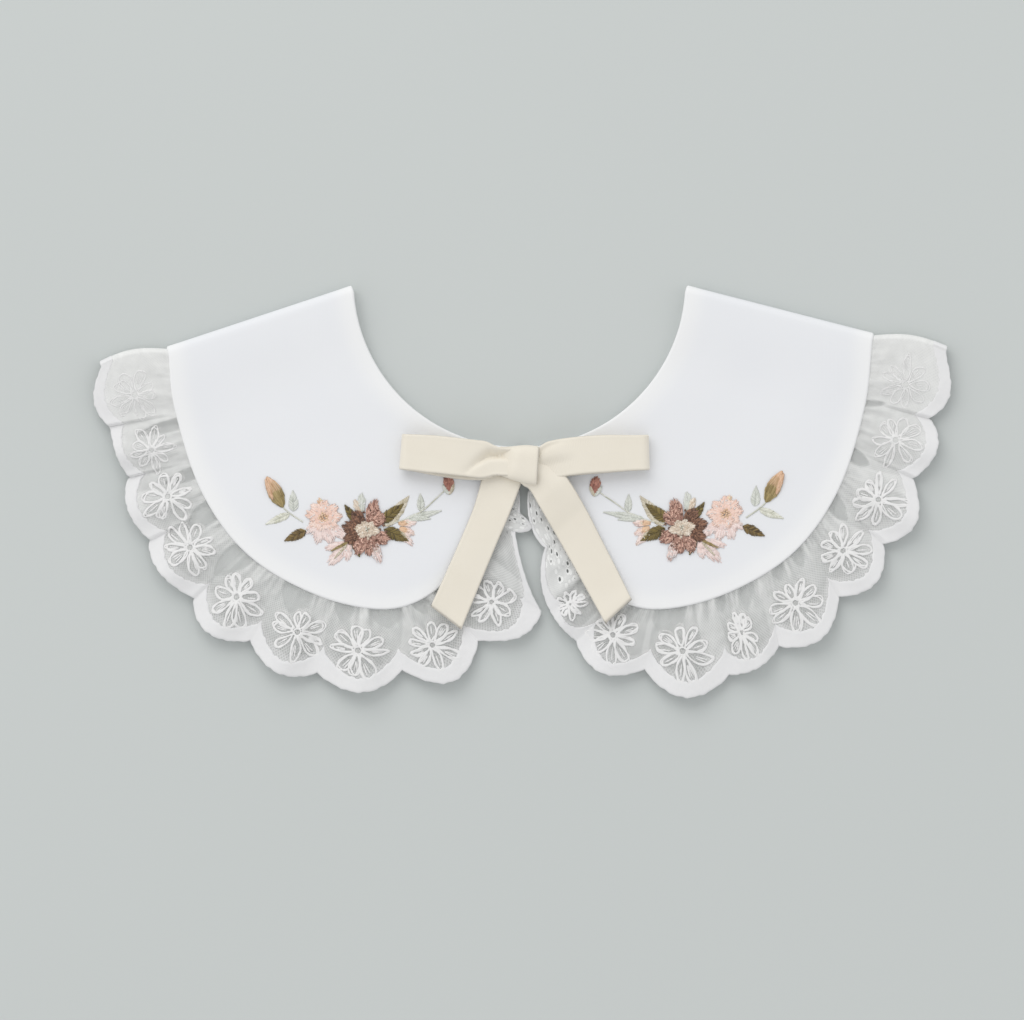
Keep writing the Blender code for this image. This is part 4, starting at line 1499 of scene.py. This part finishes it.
LOOP_ROUTES = {
    Side.LEFT: (
        (-1.2, -49.0, 5.6),
        (-6.4, -48.6, 5.6),
        (-13.0, -47.9, 5.5),
        (-22.0, -46.9, 5.3),
        (-31.9, -46.1, 5.2),
    ),
    Side.RIGHT: (
        (0.0, -49.6, 5.6),
        (5.2, -49.2, 5.6),
        (12.2, -47.6, 5.5),
        (22.0, -46.7, 5.3),
        (34.8, -46.3, 5.2),
    ),
}
RIGHT_TAIL_EDGES = (
    (
        (-0.4, -52.6),
        (0.5, -54.9),
        (2.6, -56.3),
        (4.9, -60.2),
        (9.1, -67.4),
        (13.0, -74.2),
        (18.4, -83.9),
        (23.2, -92.6),
    ),
    (
        (5.2, -46.9),
        (8.8, -49.3),
        (12.5, -52.6),
        (17.8, -61.2),
        (22.1, -69.6),
        (26.6, -78.4),
        (30.3, -86.0),
    ),
)
TAILS = {
    Side.LEFT: (
        ((-9.6, -51.0), (-11.9, -59.6), (-14.3, -65.9), (-20.0, -79.0), (-24.0, -87.8)),
        ((1.0, -53.3), (-2.2, -61.8), (-6.4, -71.6), (-11.2, -83.2), (-15.7, -94.1)),
        (4.35, 4.35, 4.2, 4.15, 4.3, 4.6),
    ),
    Side.RIGHT: (*RIGHT_TAIL_EDGES, (6.8, 6.9, 6.8, 5.5, 4.4, 4.1, 4.05, 4.05, 4.1, 4.25, 4.5)),
}


@dataclass
class RibbonBow:
    """The bow: two loops, two tails and the knot, each a thin ribbon on its solid's form."""

    material: bpy.types.Material
    width: float = 10.2
    half_wall: float = 0.2
    slip: dict = field(default_factory=lambda: {Side.LEFT: 0.9, Side.RIGHT: 0.2})
    loop_radius: float = 1.75
    rows: int = 25
    tail_steps: int = 44
    cut_width: float = 0.0102
    tail_length: float = 0.045

    def ribbon(
        self, name: str, sheet: np.ndarray, node: str, cut: tuple[float, float], held: str, ring: bool = False
    ) -> bpy.types.Object:
        """Args:
            name: the piece's name.
            sheet: its middle surface, columns along the ribbon.
            node: the node that it stands for.
            cut: the ribbon's width and length before it was tied, in metres. Not used.
            held: how the cloth is held. Not used.
            ring: whether the ribbon closes on itself.

        Returns:
            The piece's object.
        """
        walk = distances(sheet[:, sheet.shape[1] // 2])
        share = np.linspace(0.0, 1.0, sheet.shape[1])
        near = np.minimum(share, 1.0 - share) * self.width
        half = self.half_wall * rounded(near, 0.25) * (1.0 + 0.35 * np.exp(-(((near - 0.5) / 0.3) ** 2)))
        half = np.repeat(half[None], len(sheet), axis=0)
        if not ring:
            half[0] = half[-1] = 0.0
        half[:, 0] = half[:, -1] = 0.0
        rings = shell_rings(sheet, half, loop=ring)
        pattern = np.stack(np.broadcast_arrays(walk[:, None] * 0.1, share[None] * self.width * 0.1), axis=-1)
        pattern = both_faces(pattern, pattern)
        draft = MeshDraft()
        draft.add(rings, grid_quads(*rings.shape[:2], ring=True), pattern)
        item = draft.build(name, Side.RIGHT, self.material, merge=True)
        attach(item, "root")
        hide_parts(node)
        return item

    def loop(self, side: Side, route: tuple, rows: np.ndarray) -> np.ndarray:
        """Return a loop's middle surface: out along its lower layer, round, and back on top.

        Args:
            side: which loop it is.
            route: the loop's middle line, from the knot outwards.
            rows: the shares across the ribbon, from -0.5 to 0.5.

        Returns:
            The grid of points.
        """
        line = through(route, 400)
        length = distances(line)[-1]
        radius = self.loop_radius
        straight = np.linspace(0.0, length - radius, 46)
        open_share = smooth_step((straight - 4.6) / 12.0)
        half = 0.75 + (radius - 0.75) * open_share
        half = half + 0.25 * np.sin(math.pi * smooth_step((straight - 5) / 25.0))
        angle = np.linspace(-0.5 * math.pi, 0.5 * math.pi, 13)[1:-1]
        out = np.concatenate([straight, length - radius * (1 - np.cos(angle)), straight[::-1]])
        lift = np.concatenate([-half, radius * np.sin(angle), half[::-1]])
        top = np.concatenate([np.zeros(len(straight)), np.linspace(0, 1, len(angle)), np.ones(len(straight))])
        middle = at_distance(line, out)
        heading = unit((at_distance(line, out + 0.2) - at_distance(line, out - 0.2))[:, :2])
        broad = quarter_turn(heading) * -side.value
        spread = 0.74 + 0.26 * smooth_step((out - 4.2) / 5.0) - 0.06 * smooth_step((out - 22.0) / 11.0)
        width = self.width * spread
        plan = middle[:, None, :2] + broad[:, None] * (width[:, None] * rows)[..., None]
        plan[..., 1] -= (self.slip[side] * (1.0 - top) * np.sin(math.pi * out / length) ** 2)[:, None]
        height = (middle[:, 2] + lift)[:, None] + self.folds(side, out, rows) * top[:, None]
        return np.dstack([plan, height])

    def folds(self, side: Side, out: np.ndarray, rows: np.ndarray) -> np.ndarray:
        """Return the creases of a loop's top by the knot: a valley along a curve, deepest at the knot."""
        if side is Side.LEFT:
            line = np.interp(out, (3.8, 7.3, 10.0, 11.7, 13.0), (-0.16, -0.09, 0.11, 0.27, 0.4))
            gap = rows[None] - line[:, None]
            near = (1.0 - smooth_step((out - 6.0) / 9.0))[:, None]
            width = np.where(gap < 0, 0.2, 0.05)
            puff = 0.35 * near * smooth_step(gap / 0.2) + 0.5 * near**2 * smooth_step((-0.12 - gap) / 0.2)
            return puff - 1.6 * near * np.exp(-((gap / width) ** 2))
        near = (1.0 - smooth_step((out - 10.0) / 7.0))[:, None]
        fold = np.exp(-(((rows[None] + 0.2 + 0.02 * out[:, None]) / 0.09) ** 2))
        return -0.35 * near * fold - 0.85 * near * smooth_step((rows[None] + 0.15) / 0.3)

    def tail(self, side: Side, rows: np.ndarray) -> np.ndarray:
        """Return a tail's middle surface, spread straight between its two edges.

        Args:
            side: which tail it is.
            rows: the shares across the ribbon, from -0.5 to 0.5.

        Returns:
            The grid of points.
        """
        first, second, heights = TAILS[side]
        start, end = through(first, self.tail_steps), through(second, self.tail_steps)
        share = (rows + 0.5)[None, :, None]
        plan = start[:, None] + (end - start)[:, None] * share
        t = np.linspace(0.0, 1.0, self.tail_steps)
        middle = np.interp(t, np.linspace(0, 1, len(heights)), heights)
        curl = 0.28 * np.sin(TAU * (0.9 * t[:, None] + 0.15 * rows[None])) * rows[None] * 2.0
        lift = 0.5 * smooth_step((t - 0.86) / 0.14)[:, None] * (0.3 + np.abs(rows[None]))
        height = middle[:, None] + curl * smooth_step(t / 0.3)[:, None] + lift
        if side is Side.RIGHT:
            early = (1.0 - smooth_step((t - 0.12) / 0.22))[:, None]
            height = height - early * (1.7 * (1.0 - share[..., 0]) ** 1.5 * smooth_step(t / 0.1)[:, None])
            height = height - early * 1.5 * smooth_step((share[..., 0] - 0.5) / 0.5)
        return np.dstack([plan, height])

    def build(self) -> list[bpy.types.Object]:
        """Make the five pieces.

        Returns:
            Their objects.
        """
        rows = np.linspace(-0.5, 0.5, self.rows)
        made = []
        for side in Side:
            sheet = self.loop(side, LOOP_ROUTES[side], rows)
            length = MM * float(np.linalg.norm(np.diff(sheet[:, self.rows // 2], axis=0), axis=1).sum())
            name, node = f"ribbon_loop_{side.label}", f"bow_loop_{side.label}"
            made.append(self.ribbon(name, sheet, node, (self.cut_width, length), "folded"))
        for side in Side:
            name, node = f"ribbon_tail_{side.label}", f"bow_tail_{side.label}"
            cut = (self.cut_width, self.tail_length)
            made.append(self.ribbon(name, self.tail(side, rows), node, cut, "laid"))
        made.append(self.knot())
        return made

    def knot(self) -> bpy.types.Object:
        """Make the knot: a soft band round both loops, its right edge free and its left edge tucked in.

        Returns:
            The knot's object.
        """
        across = np.linspace(0.0, 1.0, 22)
        angle = np.linspace(0.0, TAU, 65)
        x = -6.2 + 11.2 * across
        centre_y = -48.5 - 1.4 * across
        half_y = 3.6 + 1.45 * smooth_step(across / 0.8)
        half_z = 0.45 + 1.8 * smooth_step(across / 0.55) + 0.1 * np.sin(math.pi * across)
        power = 0.62
        ring_y = np.sign(np.cos(angle)) * np.abs(np.cos(angle)) ** power
        ring_z = np.sign(np.sin(angle)) * np.abs(np.sin(angle)) ** power
        sheet = np.empty((len(angle), len(across), 3))
        sheet[..., 0] = x[None] + ring_y[:, None] * (0.7 * (1.0 - across[None]) + 0.3 * across[None])
        sheet[..., 1] = centre_y[None] + ring_y[:, None] * half_y[None]
        top = np.clip(ring_z[:, None], 0, 1)
        crease = 0.08 * np.exp(-(((across[None] - 0.36 - 0.1 * ring_y[:, None]) / 0.09) ** 2)) * top
        crease += 0.06 * np.exp(-(((across[None] - 0.7 + 0.06 * ring_y[:, None]) / 0.06) ** 2)) * top
        sunk = 1.5 * (1.0 - smooth_step(across / 0.42))[None] * top
        sheet[..., 2] = 5.6 + ring_z[:, None] * half_z[None] - crease - sunk
        return self.ribbon("ribbon_knot", sheet, "bow_knot", (0.0112, 0.030), "folded", ring=True)


# The table, the light and the camera


@dataclass
class Studio:
    """The pale table, one broad soft light from the picture's upper left, and a camera straight over it."""

    table_size: float = 1.6
    camera_height: float = 1.5
    picture_width: float = 0.27 * 1024 * MM
    picture_centre: tuple[float, float] = (-0.00276, -0.00506)
    key_power: float = 20.0
    fill: float = 0.80

    def build(self) -> None:
        """Make the table, the lights, the sky's fill and the camera."""
        half = 0.5 * self.table_size
        mesh = bpy.data.meshes.new("table")
        corners = [(-half, -half, 0), (half, -half, 0), (half, half, 0), (-half, half, 0)]
        mesh.from_pydata(corners, [], [(0, 1, 2, 3)])
        mesh.materials.append(TableFinish().build())
        table = bpy.data.objects.new("table", mesh)
        bpy.context.scene.collection.objects.link(table)

        key = bpy.data.lights.new("window_light", "AREA")
        key.shape, key.size, key.size_y, key.energy = "RECTANGLE", 2.0, 1.6, self.key_power
        key.color = (1.0, 0.99, 0.97)
        lamp = bpy.data.objects.new("window_light", key)
        place = Vector((-0.68, 1.52, 1.44))
        lamp.location = place
        lamp.rotation_euler = place.to_track_quat("Z", "Y").to_euler()
        bpy.context.scene.collection.objects.link(lamp)

        world = bpy.data.worlds.new("soft_room")
        world.use_nodes = True
        world.node_tree.nodes["Background"].inputs["Color"].default_value = (0.985, 0.985, 0.985, 1.0)
        world.node_tree.nodes["Background"].inputs["Strength"].default_value = self.fill
        bpy.context.scene.world = world

        lens = bpy.data.cameras.new("camera")
        lens.sensor_width = 36.0
        lens.lens = 36.0 * (self.camera_height - 0.003) / self.picture_width
        lens.clip_start, lens.clip_end = 0.05, 10.0
        camera = bpy.data.objects.new("camera", lens)
        camera.location = (*self.picture_centre, self.camera_height)
        bpy.context.scene.collection.objects.link(camera)
        bpy.context.scene.camera = camera
        bpy.context.scene.view_settings.view_transform = "Standard"


def main() -> None:
    """Build the collar's looks in order and report each piece."""
    logging.basicConfig(level=logging.INFO, format="%(message)s")
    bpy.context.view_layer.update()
    cotton, net, satin = CottonFinish().build(), NetFinish().build(), SatinFinish().build()
    thread, ribbon = ThreadFinish().build(), RibbonFinish().build()
    cording = SatinFinish("white_lace_cord", from_srgb(233, 233, 233), from_srgb(222, 222, 222)).build()
    shifts = {Side.LEFT: ((0.0, 0.0), 0.0), Side.RIGHT: ((2.7, 0.35), 0.04, 1.4)}
    pieces = []
    for side in Side:
        form = CollarForm(side)
        spray = EmbroiderySpray(form, thread, *shifts[side]).build()
        pieces += [spray, CottonHalf(form, cotton).build(spray)]
        lace = LaceRuffle(form, net, satin, cording)
        worked = [lace.build_border(), lace.build_flowers()]
        pieces += [*worked, lace.build_net()]
    pieces += RibbonBow(ribbon).build()
    for piece in pieces:
        log.info("%s: %d faces", piece.name, len(piece.data.polygons))
    Studio().build()


if __name__ == "__main__":
    main()
